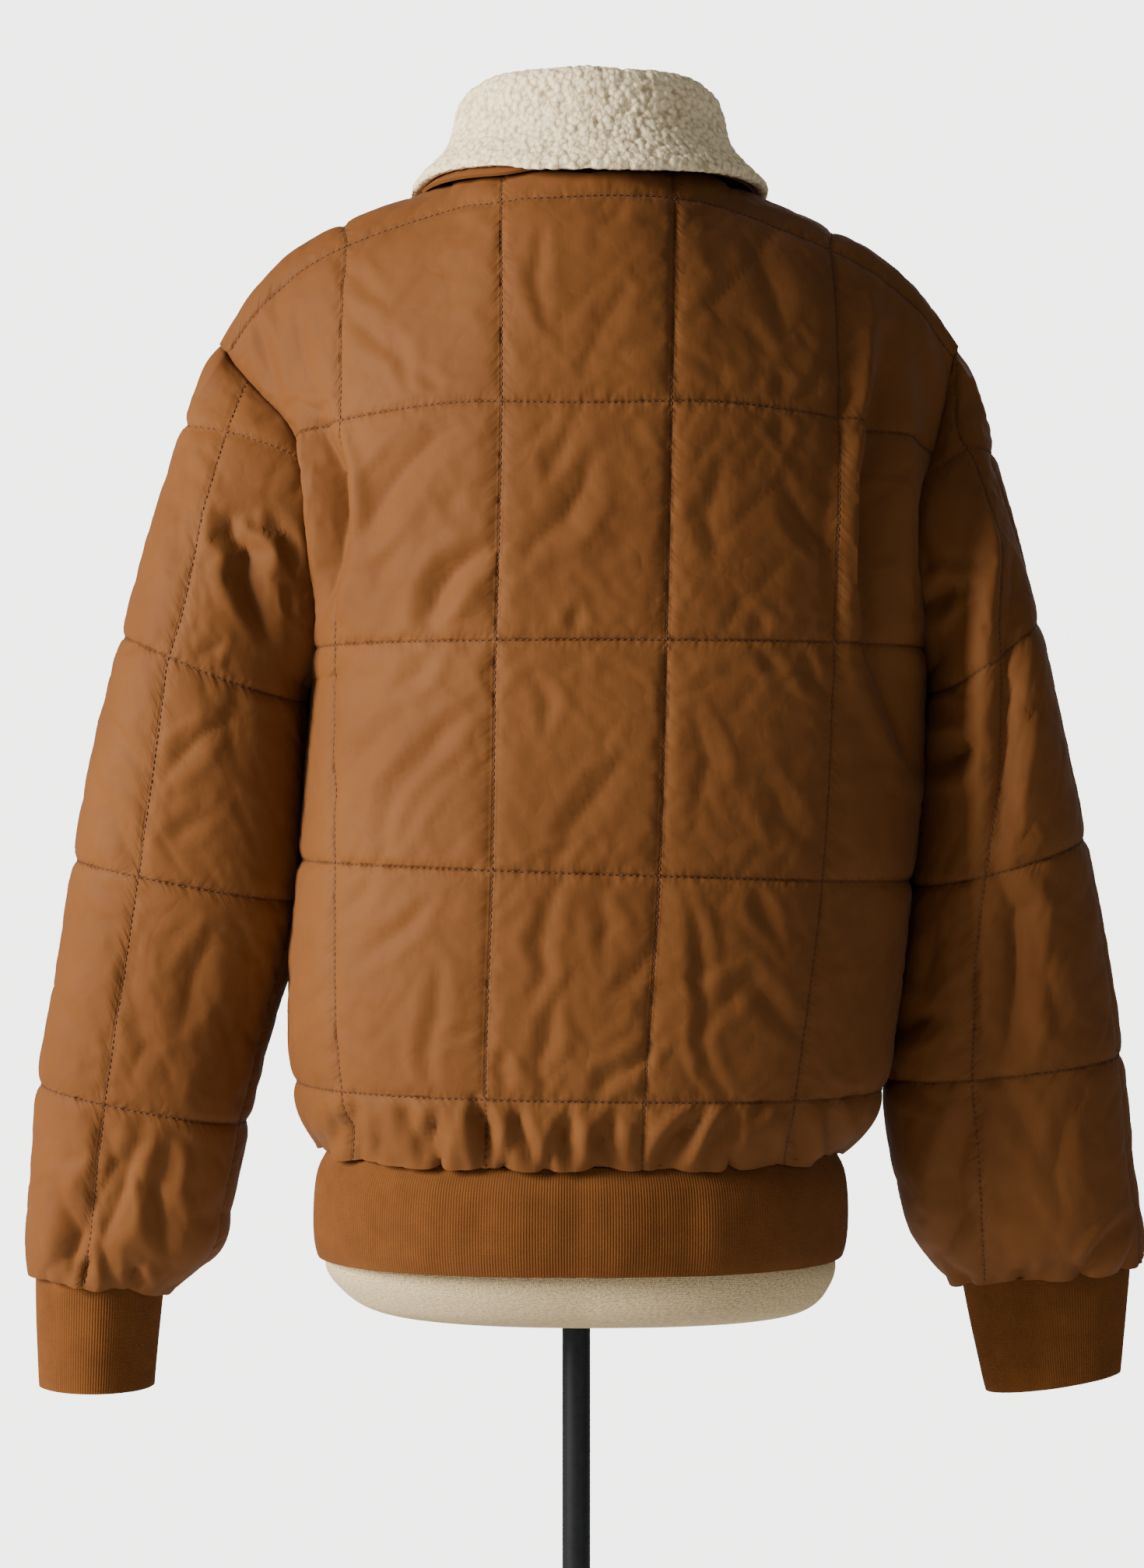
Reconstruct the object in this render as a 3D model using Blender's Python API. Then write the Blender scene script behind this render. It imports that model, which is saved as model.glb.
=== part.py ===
"""Quilted padded jacket with a fleece collar, worn on a limbless dress form with its stand.

Metres, +Z up.  The origin is the centre of the stand's underside, on the floor.
The wearer faces -Y, so +X is the wearer's left.  Run in Blender 4.5.

Every cloth piece is a wall between two sheets of points: a plain inside sheet,
and an outside sheet that is raised between the lines of quilting.
"""

from collections import namedtuple
from math import cos, hypot, pi, radians, sin

import bmesh
import bpy
import numpy as np
from mathutils import Matrix, Vector

# ---------------------------------------------------------------- driving sizes
SEAM_GAP = 0.0003  # between any two pieces that are sewn or rest together
ARMHOLE_GAP = 0.0005  # the same along the armhole, whose seam turns as it goes round
WALL = 0.003  # shell, wadding and lining, pressed flat by the stitching
PUFF = 0.0056  # how far the wadding rises in the middle of a quilted cell
PUFF_EDGE = 0.4  # under 1, so that a cell rises steeply beside its stitching
COVER = 0.0070  # from the plain inside to the usual outline of the puffed outside
RIB_WALL = 0.003  # knitted rib of hem and cuffs
TILT = 0.034  # the jacket hangs askew: rows of quilting drop towards the wearer's right

HEM_SEAM_Z = 0.893  # where body and knitted hem meet
HEM_BOTTOM_Z = 0.828
HEM_BOTTOM_HALF = {1: 0.1640, -1: 0.1690}  # half widths there, by side
UNDERARM_Z = 1.185
CHEST_ROUND = 2.4  # superellipse exponent of the body's sections
YOKE_ROUND = 2.4  # the same for the upright profile from underarm to shoulder

NECK_HALF_WIDTH = 0.078
NECK_CENTRE_X = -0.008
NECK_POINT_Z = 1.489
NECK_BACK = (0.070, 1.480)  # depth and height of the neckline at centre back
NECK_FRONT = (0.085, 1.430)  # and at centre front
NECK_DRAW = 0.55  # the rise from which a panel's columns bend towards the neck point
NECK_SHARE = {1: 0.29, -1: 0.26}  # part of the half panel that the neckline takes, by side
SHOULDER_TIP = 0.230  # from the centre line to the armhole seam
SHOULDER_DROP = {1: (0.30, 590.0), -1: (0.38, 460.0)}  # by side, from the neck point: straight, fifth power

QUILT_ROWS = (0.933, 1.067, 1.205, 1.345, 1.468)  # heights at centre back
FRONT_ROWS = (0.933, 1.067, 1.205, 1.345)
ZIP_HALF_WIDTH = 0.0057

# Outline of the body by height: half widths from the stand's axis to the cloth's outside on
# the wearer's left and right, depths behind and in front, and where the centre line runs.
Section = namedtuple("Section", "z left right back front centre")
SECTIONS = (
    Section(0.893, 0.161, 0.167, 0.120, 0.118, 0.0066),
    Section(0.903, 0.166, 0.179, 0.126, 0.124, 0.0066),
    Section(0.915, 0.174, 0.189, 0.131, 0.128, 0.0064),
    Section(0.940, 0.179, 0.197, 0.135, 0.133, 0.0056),
    Section(0.980, 0.181, 0.202, 0.138, 0.136, 0.0042),
    Section(1.035, 0.178, 0.209, 0.138, 0.138, 0.0010),
    Section(1.075, 0.174, 0.213, 0.137, 0.139, -0.0004),
    Section(1.135, 0.169, 0.219, 0.136, 0.141, -0.0020),
    Section(1.185, 0.164, 0.220, 0.135, 0.142, -0.0034),
)

# Lines of upright stitching on the back, as seen from behind, by height.
BackLine = namedtuple("BackLine", "z far_left left right far_right")
BACK_LINES = (
    BackLine(0.893, 0.132, 0.056, -0.040, -0.122),
    BackLine(0.940, 0.139, 0.055, -0.042, -0.127),
    BackLine(1.067, 0.144, 0.050, -0.050, -0.143),
    BackLine(1.205, 0.146, 0.047, -0.054, -0.151),
    BackLine(1.345, 0.144, 0.044, -0.056, -0.157),
    BackLine(1.480, 0.144, 0.044, -0.057, -0.158),
)
FRONT_LINES = (0.060, 0.148)  # the same on each front, from the zip

# The armhole seam: where it cuts the half panel, as a share of the way from the centre line
# to the side, by its share of the height from underarm to shoulder tip.
Armhole = namedtuple("Armhole", "rise left right front")
ARMHOLE = (
    Armhole(0.00, 1.00, 1.00, 1.00),
    Armhole(0.08, 0.88, 0.94, 0.92),
    Armhole(0.25, 0.81, 0.86, 0.79),
    Armhole(0.40, 0.79, 0.87, 0.76),
    Armhole(0.54, 0.83, 0.94, 0.78),
    Armhole(0.70, 0.93, 0.975, 0.87),
    Armhole(0.88, 0.985, 0.992, 0.96),
    Armhole(1.00, 1.00, 1.00, 1.00),
)

# Rings down each sleeve: the outermost and innermost points of the cloth's outside, half the
# depth from front to back, how far forward the ring hangs, and the sleeve's own length there.
Ring = namedtuple("Ring", "outer_x outer_z inner_x inner_z half_depth y length")
SLEEVE_LEFT = (
    Ring(0.2400, 1.3684, 0.1715, 1.1835, 0.078, 0.000, 0.04),
    Ring(0.2590, 1.3096, 0.1760, 1.1815, 0.075, 0.000, 0.09),
    Ring(0.2850, 1.2110, 0.1790, 1.1750, 0.070, -0.002, 0.19),
    Ring(0.3030, 1.1420, 0.1795, 1.1170, 0.067, -0.005, 0.26),
    Ring(0.3165, 1.0715, 0.1810, 1.0470, 0.064, -0.010, 0.33),
    Ring(0.3280, 1.0010, 0.1935, 0.9770, 0.062, -0.016, 0.40),
    Ring(0.3410, 0.9300, 0.2085, 0.9070, 0.060, -0.022, 0.47),
    Ring(0.3465, 0.8700, 0.2210, 0.8520, 0.058, -0.028, 0.53),
    Ring(0.3495, 0.8300, 0.2300, 0.8230, 0.053, -0.031, 0.57),
    Ring(0.3505, 0.8080, 0.2560, 0.8020, 0.044, -0.034, 0.595),
)
SLEEVE_RIGHT = (
    Ring(0.2540, 1.3684, 0.2260, 1.1910, 0.080, 0.000, 0.04),
    Ring(0.2673, 1.3096, 0.2295, 1.1890, 0.079, 0.000, 0.09),
    Ring(0.2890, 1.2220, 0.2310, 1.1800, 0.078, -0.002, 0.19),
    Ring(0.3055, 1.1500, 0.2280, 1.1200, 0.076, -0.006, 0.26),
    Ring(0.3208, 1.0847, 0.2220, 1.0550, 0.073, -0.011, 0.33),
    Ring(0.3350, 1.0150, 0.2140, 0.9920, 0.069, -0.017, 0.40),
    Ring(0.3460, 0.9485, 0.2055, 0.9330, 0.064, -0.022, 0.47),
    Ring(0.3530, 0.8800, 0.2100, 0.8680, 0.059, -0.027, 0.53),
    Ring(0.3600, 0.8350, 0.2200, 0.8290, 0.052, -0.031, 0.57),
    Ring(0.3600, 0.8120, 0.2400, 0.8010, 0.036, -0.034, 0.60),
)
SLEEVE_ROWS = (0.05, 0.19, 0.33, 0.47)  # lengths at which a sleeve is quilted across
SLEEVE_LINE_ANGLE = {1: radians(72), -1: radians(113)}  # first stitched line, from outside to back
SLEEVE_COLUMNS = 24
SLEEVE_ROUND = 2.3  # superellipse exponent of a sleeve's rings
HEAD_REACH = 0.10  # length over which the sleeve's rings lose the armhole's own depth
MITRE_SMOOTHING = 14  # passes that even out the direction of the armhole seam's edge

# Knitted cuffs: middle of the top, middle of the bottom edge and its slope up and out, half
# widths at both, half the depth and how far forward the cuff hangs.
Cuff = namedtuple("Cuff", "top_x bottom_x bottom_z slope top_half bottom_half half_depth y")
CUFFS = {
    1: Cuff(0.3045, 0.3065, 0.7365, 0.01, 0.0405, 0.0366, 0.0385, -0.034),
    -1: Cuff(0.3000, 0.3050, 0.7390, 0.15, 0.0540, 0.0430, 0.0300, -0.034),
}

# The largest creases of the back: a soft trough along points seen from behind.
Trough = namedtuple("Trough", "depth half_width points")
TROUGHS = (
    Trough(0.011, 0.012, ((0.157, 1.345), (0.152, 1.300), (0.150, 1.250), (0.153, 1.205))),
    Trough(0.009, 0.012, ((-0.177, 1.390), (-0.172, 1.340), (-0.167, 1.280), (-0.170, 1.205),
                          (-0.182, 1.160), (-0.193, 1.125))),
    Trough(0.006, 0.011, ((-0.175, 1.040), (-0.190, 0.985), (-0.176, 0.930))),
    Trough(0.005, 0.012, ((0.166, 1.120), (0.150, 1.030), (0.163, 0.950))),
)
TOP_EASE = 1.6  # over 1, so that rows crowd towards the neckline, where the yoke turns in
SEAM_REACH = 0.015  # from a sewn edge to where the wadding is full
GATHER = 0.0016  # how far the cloth steps in and out where knitted bands draw it in
GATHER_REACH = 0.035

BAND_ROWS = 3  # rows of faces down a knitted band
CUFF_COLUMNS = 30
HEM_COLUMNS = 44
HEM_BELL = 0.002  # how far the hem band swells out at half its height

# Fleece collar round the neckline: angle from centre back, height of its fold over the seam,
# how far the stand leans in over the neck, where the free edge lies (out and over the seam),
# and how far the fall sags in (a share of its reach; below 0 it rounds out over the chest).
Collar = namedtuple("Collar", "angle fold lean spread edge sag")
COLLAR = (
    Collar(0, 0.0735, 0.002, 0.0270, 0.0100, 0.28),
    Collar(45, 0.0680, 0.003, 0.0290, 0.0110, 0.26),
    Collar(90, 0.0520, 0.004, 0.0325, 0.0060, 0.22),
    Collar(130, 0.0480, 0.004, 0.0400, 0.0012, -0.10),
    Collar(160, 0.0460, 0.001, 0.0480, -0.0130, -0.25),
    Collar(180, 0.0450, 0.000, 0.0500, -0.0200, -0.30),
)
NECK_EASE = 0.0023  # between the neckline and the collar's stand, for the neckline's flat steps
COLLAR_END = radians(176)
COLLAR_STATIONS = 30
FLEECE = 0.007  # thickness of the fleece
UNDERCOLLAR = 0.002
FOLD_RADIUS = 0.008
FALL_STEPS = 4  # rows of faces down the fall

# Dress form: half widths, depths and where its middle lies, by height, then the neck stub.
FormRing = namedtuple("FormRing", "z half_width back front centre")
FORM_RINGS = (
    FormRing(0.7890, 0.098, 0.055, 0.055, -0.0130),
    FormRing(0.7905, 0.125, 0.080, 0.080, -0.0110),
    FormRing(0.7950, 0.141, 0.096, 0.096, -0.0080),
    FormRing(0.8040, 0.152, 0.104, 0.104, -0.0055),
    FormRing(0.8180, 0.1600, 0.108, 0.107, -0.0028),
    FormRing(0.8350, 0.1570, 0.108, 0.107, -0.0020),
    FormRing(0.8600, 0.1540, 0.107, 0.106, -0.0010),
    FormRing(0.9100, 0.149, 0.105, 0.104, 0.0),
    FormRing(0.9800, 0.136, 0.093, 0.096, 0.0),
    FormRing(1.0350, 0.127, 0.087, 0.092, 0.0),
    FormRing(1.0900, 0.132, 0.092, 0.100, 0.0),
    FormRing(1.1400, 0.141, 0.099, 0.116, 0.0),
    FormRing(1.1850, 0.146, 0.105, 0.124, 0.0),
)
FORM_SHARE = 0.84  # the form's shoulders end at this share of the jacket's
FORM_NECK_SINK = 0.0045  # how far the form's neckline lies under the jacket's at the middle
FORM_NECK_INSET = 0.95  # and the share of the jacket's neck opening that it takes
FORM_NECK = ((0.000, 0.820), (0.022, 0.970), (0.026, 0.985))  # each ring: step up, scale
FORM_CAP = (0.004, 0.660)
NECK_LEVEL = 0.8  # share of the neckline's slope that the stub's last ring loses
SHOULDER_FALL = 0.006  # how far the form's shoulder falls away under the jacket's at its end
FORM_ROUND = 2.0  # the form's yoke is a little slimmer than the jacket's
FORM_SECTION = 2.3  # superellipse exponent of its level sections
FORM_RISES = (0.12, 0.28, 0.45, 0.62, 0.77, 0.88, 0.95, 0.985, 1.0)  # its rings above the underarm
FORM_COLUMNS = (4, 5)  # in each quarter: to the neck point, and on to the side

POLE_RADIUS = 0.0088
BASE_RADIUS = 0.180
BASE_THICKNESS = 0.010
SOCKET_RADIUS = 0.021
SOCKET_HEIGHT = 0.045
SOCKET_FLARE = 0.010  # how far the socket's foot spreads
STAND_EDGE = 0.004  # softened edge of socket and base
POLE_SIDES = 24
BASE_SIDES = 48

ZIP_WALL = 0.0014
SLIDER_Z = 1.385
SLIDER_LENGTH = 0.013
SLIDER_HALF_WIDTH = 0.0053
SLIDER_CHANNEL = (0.0042, 0.0030)  # half width and height of the way that the teeth run in
SLIDER_HEIGHT = 0.0044
PIN_RADIUS = 0.0008
PIN_HEIGHT = 0.0072  # of the hinge pin over the zip tapes
PIN_SIDES = 16
CHEEK = (0.0014, 0.0024)  # the two cheeks that hold the pin, from the middle line
CHEEK_HALF_LENGTHS = (0.0030, 0.0018)  # at foot and head
METAL_EDGE = 0.0010  # cut off the slider's long edges
TAB_REST = radians(8)  # the tab leans in towards the cloth
TAB_LENGTH = 0.030
TAB_THICKNESS = 0.0016
TAB_HALF_WIDTH = 0.0034
TAB_EDGE = 0.0003  # cut off its edges
TAB_CORNER = 0.0015  # and off its corners
TAB_WAIST = (0.0050, 0.0080)  # where the tab widens from its eye, from the pin
EYE = (0.00115, 0.0023)  # radii of the pull tab's eye round the pin
EYE_SIDES = 20

SHELL_BROWN = (0.245, 0.118, 0.047)
RIB_BROWN = (0.205, 0.098, 0.040)
FLEECE_CREAM = (0.760, 0.690, 0.560)
LINEN = (0.560, 0.500, 0.410)
DARK_METAL = (0.030, 0.030, 0.032)
ZIP_METAL = (0.420, 0.330, 0.200)


# ---------------------------------------------------------------- small tools
def clear_scene():
    """Remove whatever the file holds when the script starts."""
    for obj in list(bpy.data.objects):
        bpy.data.objects.remove(obj, do_unlink=True)


def finish(name, colour, roughness, metallic=0.0):
    """Return a plain Principled material."""
    material = bpy.data.materials.new(name)
    material.use_nodes = True
    shader = material.node_tree.nodes["Principled BSDF"]
    shader.inputs["Base Color"].default_value = (*colour, 1.0)
    shader.inputs["Roughness"].default_value = roughness
    shader.inputs["Metallic"].default_value = metallic
    return material


def add_object(name, bm, material, sharp_angle=radians(50)):
    """Turn a bmesh into a named object, shaded smooth except across sharp edges."""
    bmesh.ops.recalc_face_normals(bm, faces=bm.faces)
    mesh = bpy.data.meshes.new(name)
    bm.to_mesh(mesh)
    bm.free()
    mesh.shade_smooth()
    mesh.set_sharp_from_angle(angle=sharp_angle)
    mesh.materials.append(material)
    obj = bpy.data.objects.new(name, mesh)
    bpy.context.scene.collection.objects.link(obj)
    return obj


def table_at(rows, key, value):
    """Read every column of a table at a value of its key, on a smooth curve through the rows."""
    keys = np.array([getattr(row, key) for row in rows], float)
    columns = np.array([tuple(row) for row in rows], float)
    value = float(np.clip(value, min(keys), max(keys)))
    slopes = np.gradient(columns, keys, axis=0)
    i = int(np.clip(np.searchsorted(keys, value) - 1, 0, len(keys) - 2))
    step = keys[i + 1] - keys[i]
    t = (value - keys[i]) / step
    mixed = (
        (2 * t**3 - 3 * t**2 + 1) * columns[i]
        + (t**3 - 2 * t**2 + t) * step * slopes[i]
        + (3 * t**2 - 2 * t**3) * columns[i + 1]
        + (t**3 - t**2) * step * slopes[i + 1]
    )
    return type(rows[0])(*mixed)


def quarter(half_width, depth, share, exponent=CHEST_ROUND):
    """Return the point at a share of the way along a quarter of a superellipse, (0, depth) first."""
    angle = np.linspace(0, pi / 2, 97)
    x = half_width * np.sin(angle) ** (2 / exponent)
    y = depth * np.cos(angle) ** (2 / exponent)
    along = np.concatenate([[0], np.cumsum(np.hypot(np.diff(x), np.diff(y)))])
    return np.interp(share * along[-1], along, x), np.interp(share * along[-1], along, y)


def split(stops, counts, eased=False):
    """Divide each stretch between two stops into its count of steps: equal, or short at the ends."""
    values = [stops[0]]
    for low, high, count in zip(stops, stops[1:], counts):
        steps = [(k + 1) / count for k in range(count)]
        if eased:
            steps = [(1 - cos(pi * step)) / 2 for step in steps]
        values += [low + (high - low) * step for step in steps]
    return values


def swell(position, lines):
    """Return 0 on a line of stitching and up to 1 midway between two lines."""
    for low, high in zip(lines, lines[1:]):
        if low <= position <= high:
            return sin(pi * (position - low) / (high - low))
    return 0.0


def quilt(across, along):
    """Return how far the wadding rises at a place in its cell, from its two swells."""
    return PUFF * max(0.0, across * along) ** PUFF_EDGE


def normals_of(grid, closed=False):
    """Return the unit normals of a grid of points by differences along its rows and columns."""
    points = np.array(grid, float)
    if closed:
        ring = points[:, :-1]
        along = np.roll(ring, -1, 1) - np.roll(ring, 1, 1)
        along = np.concatenate([along, along[:, :1]], axis=1)
    else:
        along = np.gradient(points, axis=1)
    normal = np.cross(along, np.gradient(points, axis=0))
    return normal / np.maximum(np.linalg.norm(normal, axis=2, keepdims=True), 1e-9)


def flatten_normals(normals, rows, columns, axis):
    """Take one axis out of some normals, so that a wall's edge there lies in a plane."""
    flat = normals[rows, columns].copy()
    flat[..., axis] = 0.0
    normals[rows, columns] = flat / np.linalg.norm(flat, axis=-1, keepdims=True)


def wall_object(name, inside, outside, material, closed=False):
    """Build the wall between two grids of points; a closed one joins its last column to its first."""
    inside, outside = np.array(inside), np.array(outside)
    rows, columns = inside.shape[:2]
    bm = bmesh.new()
    bmesh.ops.create_grid(bm, x_segments=columns - 1, y_segments=rows - 1, size=1)
    place = bm.verts.layers.int.new("place")
    for i, vert in enumerate(bm.verts):
        vert[place] = i
        vert.co = inside[divmod(i, columns)]
    if closed:
        bmesh.ops.remove_doubles(bm, verts=bm.verts, dist=1e-6)
    raised = bmesh.ops.extrude_face_region(bm, geom=bm.faces[:], use_keep_orig=True)
    for vert in raised["geom"]:
        if isinstance(vert, bmesh.types.BMVert):
            vert.co = outside[divmod(vert[place], columns)]
    return add_object(name, bm, material)


def rounded_prism(outline, half_thickness, bevel):
    """Extrude an outline of (x, y) points along Z about the plane z = 0, with softened edges."""
    bm = bmesh.new()
    face = bm.faces.new([bm.verts.new((x, y, -half_thickness)) for x, y in outline])
    top = bmesh.ops.extrude_face_region(bm, geom=[face], use_keep_orig=True)["geom"]
    verts = [g for g in top if isinstance(g, bmesh.types.BMVert)]
    bmesh.ops.translate(bm, verts=verts, vec=(0, 0, 2 * half_thickness))
    bmesh.ops.recalc_face_normals(bm, faces=bm.faces)
    if bevel:
        edges = [e for e in bm.edges if abs(e.verts[0].co.z - e.verts[1].co.z) < 1e-6]
        bmesh.ops.bevel(
            bm, geom=edges, offset=bevel, segments=1, profile=0.5, affect="EDGES", material=-1
        )
    return bm


# ---------------------------------------------------------------- the body's form
def body_section(face, side, z, share):
    """Return the inside of the body below the underarm, a share of the way from centre to side."""
    row = table_at(SECTIONS, "z", z)
    half = (row.left - row.centre if side > 0 else row.right + row.centre) - COVER
    depth = (row.back if face > 0 else row.front) - COVER
    x, y = quarter(half, depth, share)
    return Vector((row.centre + side * x, face * y, z))


def top_line(face, side, share):
    """Return the neckline and, past it, the shoulder seam, on the inside of the cloth."""
    neck = NECK_SHARE[side]
    if share <= neck:
        return neckline(face, side, share / neck)
    x = NECK_HALF_WIDTH + (SHOULDER_TIP - NECK_HALF_WIDTH) * (share - neck) / (1 - neck)
    off = x - NECK_HALF_WIDTH
    straight, steeper = SHOULDER_DROP[side]
    drop = straight * off + steeper * off**5
    return Vector((NECK_CENTRE_X + side * x, 0.0, NECK_POINT_Z - drop))


def neckline(face, side, share):
    """Return the neckline from centre back or front (0) to the neck point (1)."""
    depth, height = NECK_BACK if face > 0 else NECK_FRONT
    turn = share * pi / 2
    rise = sin(turn) ** 2
    x = NECK_CENTRE_X + side * NECK_HALF_WIDTH * sin(turn)
    return Vector((x, face * depth * cos(turn), height + (NECK_POINT_Z - height) * rise))


def yoke_point(face, side, rise, share):
    """Return the inside of the body above the underarm; rise is 0 there and 1 at the top line."""
    chest, top = body_section(face, side, UNDERARM_Z, share), top_line(face, side, share)
    centre_height = top_line(face, side, 0.0).z - UNDERARM_Z
    stretch = centre_height / (top.z - UNDERARM_Z) - 1
    climb = rise + stretch * rise * (1 - rise)
    bulge = max(0.0, 1 - climb**YOKE_ROUND) ** (1 / YOKE_ROUND)
    return Vector((
        chest.x + (top.x - chest.x) * climb,
        top.y + (chest.y - top.y) * bulge,
        UNDERARM_Z + (top.z - UNDERARM_Z) * climb,
    ))


def armhole_share(face, side, rise):
    """Return where the armhole seam cuts the half panel at a rise above the underarm."""
    row = table_at(ARMHOLE, "rise", rise)
    share = row.front if face < 0 else (row.left if side > 0 else row.right)
    return min(share, 1.0)


def askew(point):
    """Tilt a row of quilting with the jacket, but not at the hem seam or the underarm."""
    span = UNDERARM_Z - HEM_SEAM_Z
    room = sin(pi * min(max((point.z - HEM_SEAM_Z) / span, 0.0), 1.0))
    return Vector((point.x, point.y, point.z + TILT * point.x * room))


def panel_row(face, side, row, lines, counts):
    """Return one row of a half panel's inside points, from the centre to the side or armhole."""
    if row <= 1:
        z = HEM_SEAM_Z + (UNDERARM_Z - HEM_SEAM_Z) * row
        end = 1.0

        def at(share):
            return askew(body_section(face, side, z, share))
    else:
        z = UNDERARM_Z + (NECK_BACK[1] - UNDERARM_Z) * (row - 1)
        end = armhole_share(face, side, row - 1)

        def at(share):
            return yoke_point(face, side, row - 1, share)

    shares = np.linspace(0, end, 60)
    reach = [side * at(share).x for share in shares]
    stops = [0.0] + [float(np.interp(side * x, reach, shares)) for x in lines(z)] + [end]
    columns = split(stops, counts, eased=True)
    if row > 1:
        draw_to_neck(side, columns, counts, row - 1)
    return [at(share) for share in columns]


def draw_to_neck(side, columns, counts, rise):
    """Near the top line, draw a panel's second stretch of columns so that one meets the neck point."""
    first, last = counts[0], counts[0] + counts[1]
    at_neck = split((columns[first], NECK_SHARE[side], columns[last]), (2, counts[1] - 2))
    pull = min(max((rise - NECK_DRAW) / (1 - NECK_DRAW), 0.0), 1.0) ** 2
    for k in range(1, counts[1]):
        columns[first + k] += (at_neck[k] - columns[first + k]) * pull


def back_lines(side):
    """Return the function that reads one side's upright stitching at a height."""
    def at(z):
        row = table_at(BACK_LINES, "z", z)
        return (row.left, row.far_left) if side > 0 else (row.right, row.far_right)
    return at


def front_lines(side):
    """Return the same for a front."""
    return lambda z: tuple(side * x for x in FRONT_LINES)


def row_shares(heights, top_z, counts):
    """Return panel rows, 0 to 1 below the underarm and 1 to 2 above it, and those of the stitching."""
    low = [(z - HEM_SEAM_Z) / (UNDERARM_Z - HEM_SEAM_Z) for z in heights if z < UNDERARM_Z]
    high = [1 + (z - UNDERARM_Z) / (top_z - UNDERARM_Z) for z in heights if z > UNDERARM_Z]
    lines = [0.0] + low + high + [2.0]
    rows = split([0.0] + low + [1.0] + high, counts[:-1], eased=True)
    ease = [1 - (1 - (k + 1) / counts[-1]) ** TOP_EASE for k in range(counts[-1])]
    return rows + [rows[-1] + (2.0 - rows[-1]) * e for e in ease], lines


def trough_depth(point):
    """Return how deep the back's creases press in at a point."""
    depth = 0.0
    for trough in TROUGHS:
        steps = list(zip(trough.points, trough.points[1:]))
        for i, ((x0, z0), (x1, z1)) in enumerate(steps):
            dx, dz = x1 - x0, z1 - z0
            t = ((point.x - x0) * dx + (point.z - z0) * dz) / (dx * dx + dz * dz)
            t = min(max(t, 0.0), 1.0)
            away = hypot(point.x - x0 - t * dx, point.z - z0 - t * dz)
            ends = sin(pi * min(max((i + t) / len(steps), 0.04), 0.96)) ** 0.5
            near = trough.depth * ends * np.exp(-((away / trough.half_width) ** 2))
            depth = max(depth, float(near))
    return depth


def gathered(column, distance):
    """Step a point in or out near a knitted band, by turns from column to column."""
    fade = max(0.0, 1 - distance / GATHER_REACH)
    return (-1) ** column * GATHER * fade


# ---------------------------------------------------------------- panels
class Panel:
    """A quilted cut piece of the body: its inside and outside grids, hem row first."""

    def __init__(self, face, sides, lines, rows, row_lines, counts):
        self.face, self.rows = face, rows
        self.inside = []
        for row in rows:
            left = panel_row(face, 1, row, lines(1), counts) if 1 in sides else []
            right = panel_row(face, -1, row, lines(-1), counts) if -1 in sides else []
            joined = right[::-1] + left[1:] if left and right else left or right[::-1]
            self.inside.append(joined)
        stops = split(list(range(len(counts) + 1)), counts, eased=True)
        half = [sin(pi * (s % 1)) for s in stops]
        if face > 0:  # the middle cell of the back runs over the centre line
            half = [cos(pi / 2 * s) if s < 1 else h for s, h in zip(stops, half)]
        across = half[::-1] + half[1:] if len(sides) == 2 else (half if 1 in sides else half[::-1])
        self.inside = np.array(self.inside)
        self.normals = self._outward_normals(sides)
        self._settle(sides)
        self.lift = np.array([
            [WALL + quilt(a, swell(row, row_lines)) for a in across] for row in rows
        ])
        self._thin_at_edges()

    def _outward_normals(self, sides):
        normals = normals_of(self.inside)
        if normals[0, len(normals[0]) // 2, 1] * self.face < 0:
            normals = -normals
        flatten_normals(normals, 0, slice(None), 2)
        return normals

    def _settle(self, sides):
        """Press the creases in, step the gathers, and square the edges that meet other pieces."""
        rows, columns = self.inside.shape[:2]
        underarm = self.rows.index(1.0)
        for i in range(rows):
            for j in range(columns):
                point = Vector(self.inside[i, j])
                step = gathered(j, point.z - HEM_SEAM_Z)
                edge = min(j, columns - 1 - j)
                if self.face > 0 and 0 < i < rows - 1:
                    step -= trough_depth(point) * min(1.0, edge / 2)
                self.inside[i, j] += step * self.normals[i, j]
        side_columns = {1: columns - 1, -1: 0}
        for side in sides:
            column = side_columns[side]
            self.inside[: underarm + 1, column, 1] = self.face * SEAM_GAP / 2
            flatten_normals(self.normals, slice(0, underarm + 1), column, 1)
        shoulder = np.abs(self.inside[-1, :, 1]) < 1e-6
        self.inside[-1, shoulder, 1] = self.face * SEAM_GAP / 2
        flatten_normals(self.normals, -1, shoulder, 1)
        if self.face < 0:
            column = 0 if 1 in sides else columns - 1
            flatten_normals(self.normals, slice(None), column, 0)

    def _thin_at_edges(self):
        """Sewn edges are pressed flat: the wadding rises only away from them."""
        for edge in (0, -1):
            away = np.linalg.norm(self.inside - self.inside[:, edge, None], axis=2)
            self.lift = WALL + (self.lift - WALL) * np.minimum(1.0, away / SEAM_REACH)
            self.lift[edge] = WALL

    def armhole(self, side):
        """Return the row numbers and the column of the armhole seam on one side."""
        return range(self.rows.index(1.0), len(self.rows)), (-1 if side > 0 else 0)

    def outside(self):
        """Return the outside grid."""
        return self.inside + self.normals * self.lift[:, :, None]


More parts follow.
